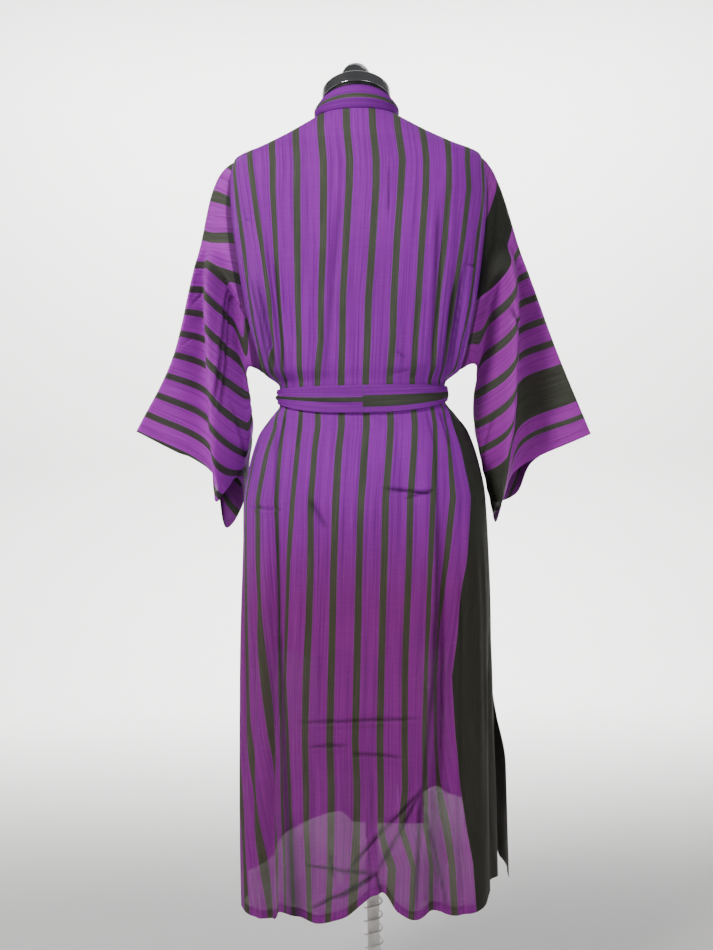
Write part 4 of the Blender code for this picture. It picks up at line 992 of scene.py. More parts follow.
def band_round_neck():
    """The band behind the neck, from the left shoulder to the right: a half ring on the
    neckline seam that leans in to the free edge's own half ring, which is highest behind."""
    turn = np.linspace(math.pi / 2, -math.pi / 2, BAND_NECK_ROWS + 2)[1:-1, None]
    behind, aside = np.cos(turn), np.sin(turn)
    x, y = ring_point(sizes_at(np.full_like(turn, NECK_HEIGHT)), turn)
    seam = np.concatenate([x, y, 0 * x + NECK_HEIGHT], axis=1)
    free = np.concatenate([BAND_TOP_RADIUS * aside, BAND_TOP_CENTRE + BAND_TOP_DEPTH * behind,
                           BAND_TOP_SIDE + (BAND_TOP_BACK - BAND_TOP_SIDE) * behind**1.5], axis=1)
    bow = (0.006 - 0.003 * behind) * np.concatenate([aside, behind, 0 * aside], axis=1)
    return through_three(seam, (seam + free) / 2 + bow, free, BAND_COLUMNS)


def band_stripes(paint, across, along):
    """One olive stripe along the middle of the band."""
    return paint.band(across, *BAND_STRIPE), pale_edges(paint, across, *BAND_STRIPE, 0.001), along * 0


left_band, right_band = band_down_front(True), band_down_front(False) * MIRRORED
grid = np.concatenate([left_band[::-1], band_round_neck(), right_band])
across = np.linspace(0, BAND_WIDTH, BAND_COLUMNS)
cloth_map = np.stack(np.broadcast_arrays(across[None, :], run_along(grid[:, 0])[:, None]), axis=-1)
neckband_cotton = striped_cotton("neckband_cotton", band_stripes, 0.99, 0.0, DOUBLE_TONE,
                                 hemmed=False)
robe_neckband = grid_mesh("robe_neckband", grid, {"cloth": cloth_map}, neckband_cotton)
doubled(robe_neckband)
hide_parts("neckband_left", "neckband_right", "neckband_back")


# The sleeves: wide tubes of the cotton with its stripes round the arm, sewn flat along their
# top edge into a low armhole. Empty, they fold flat: a crease along the top, the back layer
# doubled into a deep valley and a ridge, the underarm tucked in. The cuffs are turned under.

SLEEVE_COLUMNS = ("around", "upper (x, y, z, distance down the cloth)", "lower", "cuff")
SLEEVE_LINES_LEFT = (
    (0.000, (0.268, 0.000, 1.290, 0.143), (0.312, 0.000, 1.122, 0.322), (0.376, 0.000, 0.998, 0.480)),
    (0.200, (0.256, 0.006, 1.290, 0.142), (0.262, -0.026, 1.112, 0.316), (0.262, -0.030, 0.934, 0.479)),
    (0.310, (0.246, 0.062, 1.262, 0.160), (0.249, 0.062, 1.060, 0.315), (0.243, 0.046, 0.880, 0.456)),
    (0.400, (0.214, 0.008, 1.205, 0.178), (0.194, -0.010, 0.990, 0.331), (0.214, -0.006, 0.919, 0.410)),
    (0.500, (0.192, -0.012, 1.100, 0.215), (0.186, -0.030, 1.010, 0.335), (0.206, -0.034, 0.905, 0.420)),
    (0.590, (0.206, -0.075, 1.160, 0.200), (0.196, -0.086, 0.990, 0.335), (0.209, -0.068, 0.870, 0.430)),
    (0.710, (0.237, -0.104, 1.240, 0.165), (0.240, -0.106, 1.040, 0.325), (0.241, -0.086, 0.834, 0.480)),
    (0.775, (0.251, -0.087, 1.268, 0.150), (0.262, -0.088, 1.060, 0.320), (0.262, -0.074, 0.936, 0.480)),
    (0.870, (0.262, -0.060, 1.290, 0.143), (0.290, -0.062, 1.090, 0.320), (0.318, -0.056, 0.964, 0.480)),
)
SLEEVE_LINES_RIGHT = (
    (0.000, (0.271, 0.000, 1.272, 0.176), (0.322, 0.000, 1.120, 0.335), (0.377, 0.000, 0.979, 0.494)),
    (0.200, (0.258, 0.006, 1.274, 0.162), (0.263, -0.026, 1.104, 0.327), (0.262, -0.028, 0.926, 0.494)),
    (0.310, (0.247, 0.062, 1.246, 0.134), (0.248, 0.060, 1.050, 0.280), (0.224, 0.044, 0.868, 0.432)),
    (0.400, (0.214, 0.012, 1.190, 0.148), (0.192, -0.006, 1.000, 0.283), (0.216, 0.000, 0.836, 0.450)),
    (0.500, (0.192, -0.012, 1.095, 0.190), (0.186, -0.030, 1.010, 0.285), (0.214, -0.030, 0.876, 0.410)),
    (0.590, (0.206, -0.075, 1.160, 0.180), (0.200, -0.084, 0.990, 0.300), (0.226, -0.062, 0.868, 0.430)),
    (0.710, (0.237, -0.102, 1.236, 0.170), (0.246, -0.104, 1.040, 0.320), (0.264, -0.082, 0.884, 0.480)),
    (0.775, (0.250, -0.086, 1.256, 0.166), (0.266, -0.088, 1.058, 0.324), (0.286, -0.070, 0.932, 0.494)),
    (0.870, (0.263, -0.058, 1.280, 0.165), (0.296, -0.060, 1.090, 0.330), (0.322, -0.054, 0.956, 0.494)),
)
ARMHOLE_CLOTH_COLUMNS = ("height", "distance down the cloth")
ARMHOLE_CLOTH_LEFT = ((1.442, 0.030), (1.370, 0.077), (1.310, 0.118), (1.244, 0.158), (1.170, 0.199),
                      (1.090, 0.243))
ARMHOLE_CLOTH_RIGHT = ((1.442, 0.002), (1.330, 0.055), (1.200, 0.127), (1.135, 0.162), (1.090, 0.200))
SHOULDER_ROUND_LEFT = (0.077, 0.000, 0.092, 0.0)
SHOULDER_ROUND_RIGHT = (0.040, 0.000, 0.095, 0.0)
SHOULDER_REACH = 0.11
CREASE_REACH = 0.0085
CREASE_WIDTH = 0.0072
SLEEVE_COLUMN_COUNT = 241
SLEEVE_ROWS = 150
SLEEVE_ROUND = 0.74
SLEEVE_RIPPLE = 0.0006
SLEEVE_STRIPE_PITCH = 0.0405
FIRST_STRIPE_LEFT = 0.037
FIRST_STRIPE_RIGHT = 0.1622
STRIPED_RIGHT = (0.140, 0.344)
UPPER_BAND_RIGHT = (0.055, 0.127)
LOWER_BAND_RIGHT = (0.362, 0.432)
LOWER_BAND_DEPTH = 0.3
NARROW_STRIPE_RIGHT = (0.4555, 0.4640)


def armhole_loop(around):
    """Points of the left armhole by their share of the way round, from the shoulder down the
    back edge and up the front one."""
    heights = np.linspace(SHOULDER_HEIGHT, ARMPIT_HEIGHT, 400)
    size = sizes_at(heights)
    below = ring_point(size, armhole_turn(heights))[0]
    yoke_x = ring_point(sizes_at(YOKE_HEIGHT), armhole_turn(YOKE_HEIGHT))[0]
    fall = (SHOULDER_HEIGHT - heights) / (SHOULDER_HEIGHT - YOKE_HEIGHT)
    x = np.where(heights > YOKE_HEIGHT, SHOULDER_HALF_WIDTH + (yoke_x - SHOULDER_HALF_WIDTH) * fall, below)
    behind = np.stack([x, depth_at(size, x, 1), heights], axis=1)
    before = np.stack([x, depth_at(size, x, -1), heights], axis=1)
    loop = np.concatenate([behind, before[::-1][1:]])
    share = run_along(loop)
    return np.stack([np.interp(around, share / share[-1], loop[:, i]) for i in range(3)], axis=1)


def round_curve(around, known, values):
    """A smooth closed curve through a sleeve's lines: its first point, the crease, is parted
    into the two sides of a round fold, and Hermite cubics with chord-length tangents join all."""
    to_back, to_front = values[1] - values[0], values[-1] - values[0]
    to_back[3] = to_front[3] = 0
    apart = to_back / np.linalg.norm(to_back) - to_front / np.linalg.norm(to_front)
    apart = apart * CREASE_WIDTH / 2 / np.linalg.norm(apart)
    known = np.concatenate([[CREASE_REACH], known[1:], [1 - CREASE_REACH]])
    values = np.concatenate([[values[0] + apart], values[1:], [values[0] - apart]])
    known = np.concatenate([known[-2:] - 1, known, known[:3] + 1])
    values = np.concatenate([values[-2:], values, values[:3]])
    length = np.linalg.norm(np.diff(values, axis=0), axis=1)[:, None]
    tangent = (values[2:] - values[:-2]) / (length[1:] + length[:-1])
    known, values, length = known[1:-1], values[1:-1], length[1:-1]
    i = np.clip(np.searchsorted(known, around, side="right") - 1, 0, len(known) - 2)
    t = (around[:, None] - known[i][:, None]) / (known[i + 1] - known[i])[:, None]
    return hermite(t, values[i], values[i + 1], tangent[i] * length[i], tangent[i + 1] * length[i])


def sleeve_shade(grid, around, gap, low_wrinkles, down, round_it):
    """The sleeve's "worn" map of painted shade: dark lines in its creases and in the narrow gap
    beside the armhole's back edge, which widens to the underarm, and a darker inside of the front
    layer above the cuff."""
    from_arm = run_along(grid)
    # Painted shade in the gap beside the armhole's back edge, wider towards the underarm.
    wide = gap * (0.45 * smooth_step(around, 0.04, 0.14) + 0.55 * smooth_step(around, 0.25, 0.44))
    wide = wide * (1 - smooth_step(around, 0.50, 0.56))
    beside = smooth_step(wide - from_arm, -0.0025, 0.0025) * smooth_step(wide, 0, 0.003)
    to_cuff = from_arm[-1] - from_arm
    # Painted shade inside the front layer, up to 0.13 m above the cuff.
    front = smooth_step(around, 0.47, 0.53) * (1 - smooth_step(around, 0.82, 0.90))
    low = front * (1 - smooth_step(to_cuff, 0.07, 0.13))
    lines = crease_shade_lines(round_it, down, low_wrinkles)
    return np.stack([np.maximum(beside, lines), low], axis=-1)


def sleeve_surface(lines, armhole_cloth, shoulder_round, wrinkles, seed, gap):
    """A left sleeve's points and its flat-cloth map, rows from armhole to cuff: Hermite cubics
    along the sleeve through four loops, which leave the shoulder in a round, then moved along
    the normals by small wrinkles. The cloth's distance is each point's fourth number."""
    around = np.linspace(0, 1, SLEEVE_COLUMN_COUNT)
    known = np.array([line[0] for line in lines])
    seam = armhole_loop(around)
    heights, distances = np.array(armhole_cloth)[::-1].T
    seam = np.concatenate([seam, np.interp(seam[:, 2], heights, distances)[:, None]], axis=1)
    seam[:, 0] += CLOTH_GAP
    loops = np.array([seam, *(round_curve(around, known, np.array([line[i] for line in lines]))
                              for i in (1, 2, 3))])
    from_crease = np.minimum(around, 1 - around)
    lift = np.exp(-((from_crease / SHOULDER_REACH) ** 2))[:, None] * np.array(shoulder_round)
    tangent = np.array([loops[1] - loops[0] + lift, (loops[2] - loops[0]) / 2,
                        (loops[3] - loops[1]) / 2, loops[3] - loops[2]])
    way = np.linspace(0, 1, SLEEVE_ROWS) * 3
    i = np.minimum(way.astype(int), 2)
    grid = hermite((way - i)[:, None, None], loops[i], loops[i + 1], tangent[i], tangent[i + 1])
    grid, down = grid[:, :, :3], grid[:, :, 3]
    round_it = np.broadcast_to(around * SLEEVE_ROUND, down.shape)
    free = smooth_step(way, 0.0, 0.4)[:, None]
    small = creases(round_it, down, wrinkles) + ripples(down, round_it, seed, SLEEVE_RIPPLE)
    edge = smooth_step(around, 0, 0.03) * (1 - smooth_step(around, 0.97, 1))
    normal = grid_normals(grid)
    outward = np.sign(np.mean(np.sum(normal * (grid - grid.mean(axis=1, keepdims=True)), axis=2)))
    grid = grid + normal * outward * (small * free * edge)[:, :, None]
    grid[:, -1] = grid[:, 0]
    return (grid, np.stack([down, round_it], axis=-1),
            sleeve_shade(grid, around, gap, wrinkles, down, round_it))


LEFT_WRINKLES = (
    (0.118, 0.205, 0.030, 0.225, 0.0016, 0.0034),
    (0.020, 0.300, 0.070, 0.280, 0.0014, 0.0030),
    (0.286, 0.150, 0.240, 0.330, 0.0042, 0.0036),
    (0.296, 0.150, 0.250, 0.330, 0.0042, 0.0036),
    (0.270, 0.300, 0.320, 0.420, 0.0018, 0.0040),
    (0.150, 0.080, 0.260, 0.110, 0.0020, 0.0050),
    (0.060, 0.060, 0.180, 0.100, 0.0016, 0.0050),
)
RIGHT_WRINKLES = (
    (0.250, 0.170, 0.200, 0.230, 0.0040, 0.0032),
    (0.060, 0.250, 0.120, 0.220, 0.0016, 0.0034),
    (0.270, 0.280, 0.320, 0.400, 0.0018, 0.0040),
    (0.150, 0.080, 0.260, 0.110, 0.0020, 0.0050),
    (0.060, 0.060, 0.180, 0.100, 0.0016, 0.0050),
)


def left_sleeve_stripes(paint, down, round_it):
    """Even stripes from armhole to cuff."""
    return warp_stripes(paint, (down - FIRST_STRIPE_LEFT) * (STRIPE_PITCH / SLEEVE_STRIPE_PITCH), round_it)


def right_sleeve_stripes(paint, down, round_it):
    """A purple cap, a wide olive band, five stripes, a second wide band and a narrow stripe."""
    even, pale, _ = warp_stripes(
        paint, (down - FIRST_STRIPE_RIGHT) * (STRIPE_PITCH / SLEEVE_STRIPE_PITCH), round_it)
    window, upper, lower, narrow = (paint.band(down, *ends) for ends in (
        STRIPED_RIGHT, UPPER_BAND_RIGHT, LOWER_BAND_RIGHT, NARROW_STRIPE_RIGHT))
    edges = (pale_edges(paint, down, *LOWER_BAND_RIGHT, 0.002)
             + pale_edges(paint, down, *NARROW_STRIPE_RIGHT, 0.0015))
    return even * window + upper + lower + narrow, pale * window + edges, upper + LOWER_BAND_DEPTH * lower


# Each sleeve has its own width of painted shade beside its armhole and its own painted light.
for side_name, lines, armhole_cloth, shoulder_round, wrinkles, seed, gap, pattern, dye_and_painted_light in (
        ("left", SLEEVE_LINES_LEFT, ARMHOLE_CLOTH_LEFT, SHOULDER_ROUND_LEFT, LEFT_WRINKLES, 11, 0.026,
         left_sleeve_stripes, LEFT_SLEEVE_PAINTED_LIGHT),
        ("right", SLEEVE_LINES_RIGHT, ARMHOLE_CLOTH_RIGHT, SHOULDER_ROUND_RIGHT, RIGHT_WRINKLES, 12, 0.011,
         right_sleeve_stripes, RIGHT_SLEEVE_PAINTED_LIGHT)):
    grid, cloth_map, painted_shade_map = sleeve_surface(lines, armhole_cloth, shoulder_round, wrinkles, seed, gap)
    grid = grid if side_name == "left" else grid * MIRRORED
    robe_sleeve = hemmed_sheet(f"robe_sleeve_{side_name}", grid, cloth_map, painted_shade_map,
                               striped_cotton(f"sleeve_cotton_{side_name}", pattern, 0.985, 0.26, dye_and_painted_light),
                               grid.mean(axis=(0, 1)))
    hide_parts(f"sleeve_{side_name}")


# The belt: one long band of the cotton cut along a stripe, folded double and tied in front.
# Its two lengths are joined by a seam at the centre back, where the stripes step.

BELT_STAND_OFF = 0.0034
BELT_CROWN = 0.0012
BELT_ROWS = 25
BELT_COLUMNS = 361
BELT_CLOTH = 0.043
BELT_STRIPE_LEFT = (0.019, 0.026)
BELT_STRIPE_RIGHT = (0.016, 0.034)


def belt_low(turn):
    """The belt's lower edge: deep behind and in front, drawn narrow at the sides."""
    behind = np.clip(np.cos(turn), 0, 1) ** 1.5
    before = np.clip(-np.cos(turn), 0, 1) ** 1.5
    drop = (BELT_LOW_BACK - BELT_LOW_SIDE) * behind + (BELT_LOW_FRONT - BELT_LOW_SIDE) * before
    return BELT_LOW_SIDE + drop


def belt_stripes(paint, across, along):
    """Olive along one edge right of the seam, and a narrower stripe lower down left of it."""
    left = paint.step(along, -0.0002, 0.0002)
    pale = pale_edges(paint, across, *BELT_STRIPE_LEFT, 0.0015)
    seam = paint.band(along, -0.0006, 0.0006, 0.0003)
    olive = left * paint.band(across, *BELT_STRIPE_LEFT) + (1 - left) * paint.band(across, *BELT_STRIPE_RIGHT)
    return (olive + seam * 0.7).math("MINIMUM", 1.0), pale * left, olive * 0.5


def belt_surface():
    """The band round the waist and its flat-cloth map: sections between the belt's two edges,
    crowned by half a sine across, with slack waves and fine puckers at the sides."""
    turn = np.linspace(-math.pi, math.pi, BELT_COLUMNS)[None, :]
    way = np.linspace(0, 1, BELT_ROWS)[:, None]
    height = BELT_TOP + (belt_low(turn) - BELT_TOP) * way
    size = sizes_at(height)
    slack = 0.0009 * np.sin(2 * math.pi * (way * 2.2 + 0.3 * np.sin(2 * turn))) * (1.2 + np.sin(5 * turn))
    puckers = 0.0006 * np.sin(90 * turn + 4 * way) * np.abs(np.sin(turn)) ** 6
    out = BELT_STAND_OFF + (BELT_CROWN + slack + puckers) * np.sin(math.pi * way)
    x, y = moved_out(size, *ring_point(size, turn + 0 * way), out)
    along = arc_at(height, np.abs(turn) + 0 * way) * np.sign(turn)
    return (np.stack([x, y, height], axis=-1),
            np.stack(np.broadcast_arrays(BELT_CLOTH * way, along), axis=-1))


grid, cloth_map = belt_surface()
belt_cotton = striped_cotton("belt_cotton", belt_stripes, 0.99, 0.0, DOUBLE_TONE, hemmed=False)
robe_belt = grid_mesh("robe_belt", grid, {"cloth": cloth_map}, belt_cotton, (0, 0, 1.04))
doubled(robe_belt)
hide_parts("belt_band")


# The knot in front: a wrap of the doubled belt pulled tight over itself, and the belt's two
# ends that hang from it.

KNOT_SIZE = (0.052, 0.028, 0.054)
KNOT_GAP = 0.0002
KNOT_SQUARENESS = 0.75
BELT_OUTSIDE = 0.0068
TAIL_WIDTH = 0.038
TAIL_TOP_WIDTH = 0.020
TAIL_STAND = 0.0034
TAIL_TOP_STAND = 0.014
TAIL_ROWS = 150
TAIL_COLUMNS = 13
TAIL_TABLE_COLUMNS = ("side", "arc_top", "arc_foot", "top", "foot", "sway")
BELT_TAILS = (
    ("left", 0.0115, 0.050, 1.0115, 0.600, 0.006),
    ("right", -0.0115, -0.018, 1.0115, 0.640, -0.005),
)


def knot_surface():
    """A rounded lump with a wrap that crosses it on a slant: a squared ball whose radius
    swells in a bell across the slanting line, with gathers that run into the wrap."""
    wide, deep, tall = (side / 2 for side in KNOT_SIZE)
    polar = np.linspace(0.02, math.pi - 0.02, 90)[:, None]
    spin = np.linspace(0, 2 * math.pi, 145)[None, :]
    across, towards = np.sin(polar) * np.cos(spin), np.sin(polar) * np.sin(spin)
    slant = np.cos(polar) * 0.55 + across * 0.85
    gathers = 0.020 * np.cos(26 * spin * 0.5 + 9 * slant) * (1 - np.exp(-((slant / 0.5) ** 2)))
    swell = 1 + 0.13 * smooth_step(0.42 - np.abs(slant), 0, 0.10) + gathers
    belt_face = sizes_at(np.array([WAIST_HEIGHT]))["front"][0] + BELT_OUTSIDE
    x = wide * np.sign(across) * np.abs(across) ** KNOT_SQUARENESS * swell
    y = deep * np.sign(towards) * np.abs(towards) ** KNOT_SQUARENESS * np.where(towards < 0, swell, 1)
    z = tall * np.cos(polar) + 0 * spin
    middle = np.array([0, KNOT_GAP - belt_face - deep, (BELT_TOP + BELT_LOW_FRONT) / 2 - 0.002])
    grid = np.stack([x, y, z], axis=-1) + middle
    return grid, np.stack([slant * 0.025 + 0.022 + 0 * z, z], axis=-1), middle


grid, cloth_map, middle = knot_surface()
belt_knot = grid_mesh("robe_belt_knot", grid, {"cloth": cloth_map}, neckband_cotton, middle)
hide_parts("belt_knot")


def tail_surface(arc_top, arc_foot, top, foot, sway):
    """A hanging end and its flat-cloth map: a strip along a line that sways in one sine wave,
    lifted off the robe below the knot and curled there across its width."""
    share = np.linspace(-0.5, 0.5, TAIL_COLUMNS)
    height = np.linspace(top, foot, TAIL_ROWS)[:, None] + 0 * share
    below_knot = top - height
    way = below_knot / (top - foot)
    offset = share * (TAIL_TOP_WIDTH + (TAIL_WIDTH - TAIL_TOP_WIDTH) * smooth_step(below_knot, 0, 0.10))
    centre_line = arc_top + (arc_foot - arc_top) * way + sway * np.sin(2 * math.pi * way)
    place = arc_at(height, math.pi + 0 * height) - centre_line - offset
    lift = TAIL_STAND + TAIL_TOP_STAND * np.exp(-((below_knot / 0.030) ** 2))
    curl = 0.0010 * np.cos(2 * math.pi * 1.5 * share) * np.exp(-((below_knot / 0.12) ** 2))
    grid = worn(height, place, lambda x: crossing_stand(x, height, True) + lift + curl)
    return grid, np.stack([BAND_WIDTH / 2 + offset, height], axis=-1)


for side_name, arc_top, arc_foot, top, foot, sway in BELT_TAILS:
    grid, cloth_map = tail_surface(arc_top, arc_foot, top, foot, sway)
    belt_tail = grid_mesh(f"robe_belt_end_{side_name}", grid, {"cloth": cloth_map}, neckband_cotton)
    doubled(belt_tail)
    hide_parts(f"belt_tail_{side_name}")
    top - foot + 0.01


# The dress form: a limbless torso padded and covered in black jersey, closed at the neck by a
# thin black rim, a polished chrome cap and a chrome finial, all leaning with the neck.

TORSO_SECTIONS = (
    (0.636, 0.158, 0.108, 0.104, 2.3),
    (0.760, 0.166, 0.118, 0.108, 2.3),
    (0.880, 0.166, 0.116, 0.106, 2.3),
    (0.960, 0.150, 0.102, 0.098, 2.3),
    (1.040, 0.126, 0.090, 0.087, 2.3),
    (1.130, 0.143, 0.100, 0.100, 2.4),
    (1.220, 0.160, 0.109, 0.111, 2.5),
    (1.290, 0.171, 0.112, 0.111, 2.6),
    (1.360, 0.184, 0.111, 0.101, 2.7),
    (1.400, 0.188, 0.107, 0.094, 2.6),
    (1.442, 0.180, 0.0975, 0.084, 2.4),
    (1.464, 0.150, 0.0895, 0.075, 2.2),
    (1.486, 0.106, 0.0790, 0.065, 2.0),
)
TORSO_TURNS = 97
STITCH_LOOPS = (4200.0, 4200.0, 3100.0)
NECK_TILT = math.radians(26)
NECK_TOP = Vector((0, 0.0051, 1.531))
NECK_RADIUS = 0.0520
RIM_RADIUS, RIM_THICKNESS = 0.0550, 0.004
CAP_RADIUS, CAP_THICKNESS, CAP_DOME = 0.0578, 0.019, 0.011
FINIAL_RADIUS, FINIAL_CENTRE, FINIAL_STEM_RADIUS = 0.0243, 0.0615, 0.0110


def torso_surface():
    """A loft through the form's sections, then a neck that draws in to a tilted circle. The
    first and last rows close the foot and the neck to a point."""
    turn = np.linspace(0, 2 * math.pi, TORSO_TURNS)[None, :]
    foot_height, top_height = TORSO_SECTIONS[0][0], TORSO_SECTIONS[-1][0]
    height = np.concatenate([np.linspace(foot_height, YOKE_HEIGHT, 60, endpoint=False),
                             np.linspace(YOKE_HEIGHT, top_height, 24)])
    x, y = ring_point(sizes_at(height[:, None], TORSO_SECTIONS), turn)
    body = np.stack([x, y, height[:, None] + 0 * x], axis=-1)
    leaning = np.stack([NECK_RADIUS * np.sin(turn[0]), NECK_RADIUS * math.cos(NECK_TILT) * np.cos(turn[0]),
                        NECK_RADIUS * math.sin(NECK_TILT) * np.cos(turn[0])], axis=-1) + np.array(NECK_TOP)
    rise = np.linspace(0, 1, 20)[1:, None, None]
    drawn = np.concatenate([1 - (1 - rise) ** 3, 1 - (1 - rise) ** 3, rise], axis=-1)
    neck = body[-1] + (leaning - body[-1]) * drawn
    foot = body[:1].mean(axis=1, keepdims=True) + 0 * body[:1]
    lid = neck[-1:].mean(axis=1, keepdims=True) + 0 * neck[-1:]
    return np.concatenate([foot, body, neck, lid])


def jersey():
    """Black knitted jersey: rows of small V stitches, faint, with a soft uneven sheen."""
    paint = Paint("black_jersey", 0.85, Sheen_Weight=0.25)
    place = paint.place()
    x, y, z = paint.parts(paint.stretched(place, STITCH_LOOPS))
    loops = (x + z).math("SINE") * (z - x).math("SINE") + (y + z).math("SINE") * 0.5
    wear = paint.noise(place, 14.0, 4.0)
    colour = paint.mix(paint.step(wear, 0.35, 0.75), (0.012, 0.012, 0.013, 1), (0.026, 0.025, 0.027, 1))
    return paint.feed(Base_Color=colour, Roughness=0.78 + 0.14 * wear,
                      Normal=paint.bump(loops + 2.0 * wear, 0.0001, 0.5))


form_torso = grid_mesh("form_torso_jersey", torso_surface(), {}, jersey(), (0, 0, 1.1))
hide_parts("form_torso")


def turned(name, profile, material, place=None, segments=96, corner=0.0004):
    """A turned piece: a profile of (radius, height) pairs from top to foot, its corners
    rounded, carried round the axis."""
    pairs = [profile[0]]
    for before, point, after in zip(profile, profile[1:], profile[2:]):
        before, point, after = np.array(before), np.array(point), np.array(after)
        reach = [min(corner, np.linalg.norm(end - point) / 2) / np.linalg.norm(end - point)
                 for end in (before, after)]
        ends = [point + (end - point) * share for end, share in zip((before, after), reach)]
        pairs += [ends[0], (ends[0] + ends[1] + 2 * point) / 4, ends[1]]
    pairs = np.array([*pairs, profile[-1]])
    turn = np.linspace(0, 2 * math.pi, segments + 1)
    grid = np.stack([pairs[:, :1] * np.cos(turn), pairs[:, :1] * np.sin(turn),
                     pairs[:, 1:] + 0 * turn], axis=-1)
    if place is not None:
        grid = grid @ np.array(place.to_3x3()).T + np.array(place.translation)
    thing = grid_mesh(name, grid, {}, material, grid.mean(axis=(0, 1)))
    welded = thing.modifiers.new("closed_seam", "WELD")
    welded.merge_threshold = 0.00002
    return thing


def rim_plastic():
    """Black satin plastic with a fine grain."""
    paint = Paint("neck_rim_black", 0.38)
    grain = paint.noise(paint.place(), 900.0, 2.0)
    return paint.feed(Base_Color=paint.mix(grain, (0.010, 0.010, 0.011, 1), (0.022, 0.022, 0.024, 1)),
                      Roughness=0.32 + 0.16 * grain)


neck_axis = Matrix.Translation(NECK_TOP) @ Matrix.Rotation(NECK_TILT, 4, "X")
rim_top = CLOTH_GAP + RIM_THICKNESS
neck_rim = turned("form_neck_rim", [(0, rim_top), (RIM_RADIUS, rim_top), (RIM_RADIUS, CLOTH_GAP),
                                    (0, CLOTH_GAP)], rim_plastic(), neck_axis, corner=0.001)
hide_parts("form_neck_ring")


def chrome():
    """Polished chrome on pressed steel, with faint turning lines, smears and fine wear."""
    paint = Paint("polished_chrome", 0.12, Metallic=1.0)
    place = paint.place()
    smear = paint.noise(place, 46.0, 5.0, 0.65)
    rub = paint.grain(place, (260.0, 260.0, 1800.0))
    colour = paint.mix(smear, (0.50, 0.51, 0.53, 1), (0.72, 0.72, 0.72, 1))
    return paint.feed(Base_Color=colour, Roughness=0.07 + 0.16 * paint.step(smear, 0.45, 0.75) + 0.05 * rub,
                      Normal=paint.bump(rub + smear, 0.00006, 0.5))


polished = chrome()
low, high = rim_top + CLOTH_GAP, rim_top + CLOTH_GAP + CAP_THICKNESS
flat = FINIAL_STEM_RADIUS + 0.002
dome = [(flat + (CAP_RADIUS - flat) * math.sin(a), high + CAP_DOME * math.cos(a))
        for a in np.linspace(0, 0.5 * math.pi, 25)]
neck_cap = turned("form_neck_cap_chrome", [(0, high + CAP_DOME), *dome, (CAP_RADIUS, low), (0, low)],
                  polished, neck_axis, corner=0.0007)
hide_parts("form_neck_cap")
finial_foot = high + CAP_DOME + CLOTH_GAP
ball = [(FINIAL_RADIUS * math.sin(a), FINIAL_CENTRE + FINIAL_RADIUS * math.cos(a))
        for a in np.linspace(0, 0.84 * math.pi, 41)]
finial = turned("form_finial_chrome", [*ball, (FINIAL_STEM_RADIUS, finial_foot), (0, finial_foot)],
                polished, neck_axis, corner=0.0003)
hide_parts("form_finial")


# The stand: a white lacquered steel pole between a flange under the form and a round base,
# with a wire wound round the pole's foot.

POLE_RADIUS = 0.0100
BASE_RADIUS = 0.170
BASE_THICKNESS = 0.012
BOSS_HEIGHT, BOSS_RADIUS = 0.030, 0.022
FLANGE_HEIGHT, FLANGE_RADIUS, COLLAR_RADIUS = 0.020, 0.034, 0.016
TORSO_FOOT = TORSO_SECTIONS[0][0]
SPIRAL_WIRE, SPIRAL_RADIUS, SPIRAL_PITCH, SPIRAL_TURNS = 0.0015, 0.0148, 0.022, 9
SPIRAL_SEAT, SPIRAL_FOOT = 0.0123, 0.045


def lacquer():
    """White lacquer on steel: a slight orange-peel skin, faint yellowing and a few scuffs."""
    paint = Paint("white_lacquer", 0.35, Coat_Weight=0.3)
    place = paint.place()
    peel = paint.noise(place, 420.0, 2.0)
    age = paint.noise(place, 9.0, 4.0)
    scuff = paint.step(paint.grain(place, (60.0, 60.0, 240.0), 4.0), 0.66, 0.74)
    colour = paint.mix(age, (0.80, 0.79, 0.75, 1), (0.70, 0.69, 0.63, 1))
    colour = paint.mix(scuff * 0.4, colour, (0.42, 0.41, 0.38, 1))
    return paint.feed(Base_Color=colour, Roughness=0.28 + 0.30 * scuff + 0.08 * age,
                      Normal=paint.bump(peel, 0.00008, 0.4))


white = lacquer()
torso_foot = TORSO_FOOT - CLOTH_GAP
flange_foot = torso_foot - FLANGE_HEIGHT
plate_foot = torso_foot - 0.005
flange = turned("stand_flange_white", [
    (0, torso_foot), (FLANGE_RADIUS, torso_foot), (FLANGE_RADIUS, plate_foot),
    (COLLAR_RADIUS, plate_foot - 0.002), (COLLAR_RADIUS, flange_foot), (0, flange_foot)],
    white, corner=0.0012)
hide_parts("stand_flange")
top, foot = flange_foot - CLOTH_GAP, BOSS_HEIGHT + CLOTH_GAP
pole = turned("stand_pole_white", [(0, top), (POLE_RADIUS, top), (POLE_RADIUS, foot), (0, foot)], white)
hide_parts("stand_pole")
base = turned("stand_base_white", [
    (0, BOSS_HEIGHT), (BOSS_RADIUS - 0.002, BOSS_HEIGHT), (BOSS_RADIUS, BOSS_HEIGHT - 0.002),
    (BOSS_RADIUS + 0.002, 0.017), (BOSS_RADIUS + 0.018, BASE_THICKNESS + 0.001),
    (BASE_RADIUS - 0.004, BASE_THICKNESS), (BASE_RADIUS, BASE_THICKNESS - 0.004),
    (BASE_RADIUS, 0), (0, 0)], white, segments=160, corner=0.002)
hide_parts("stand_base")


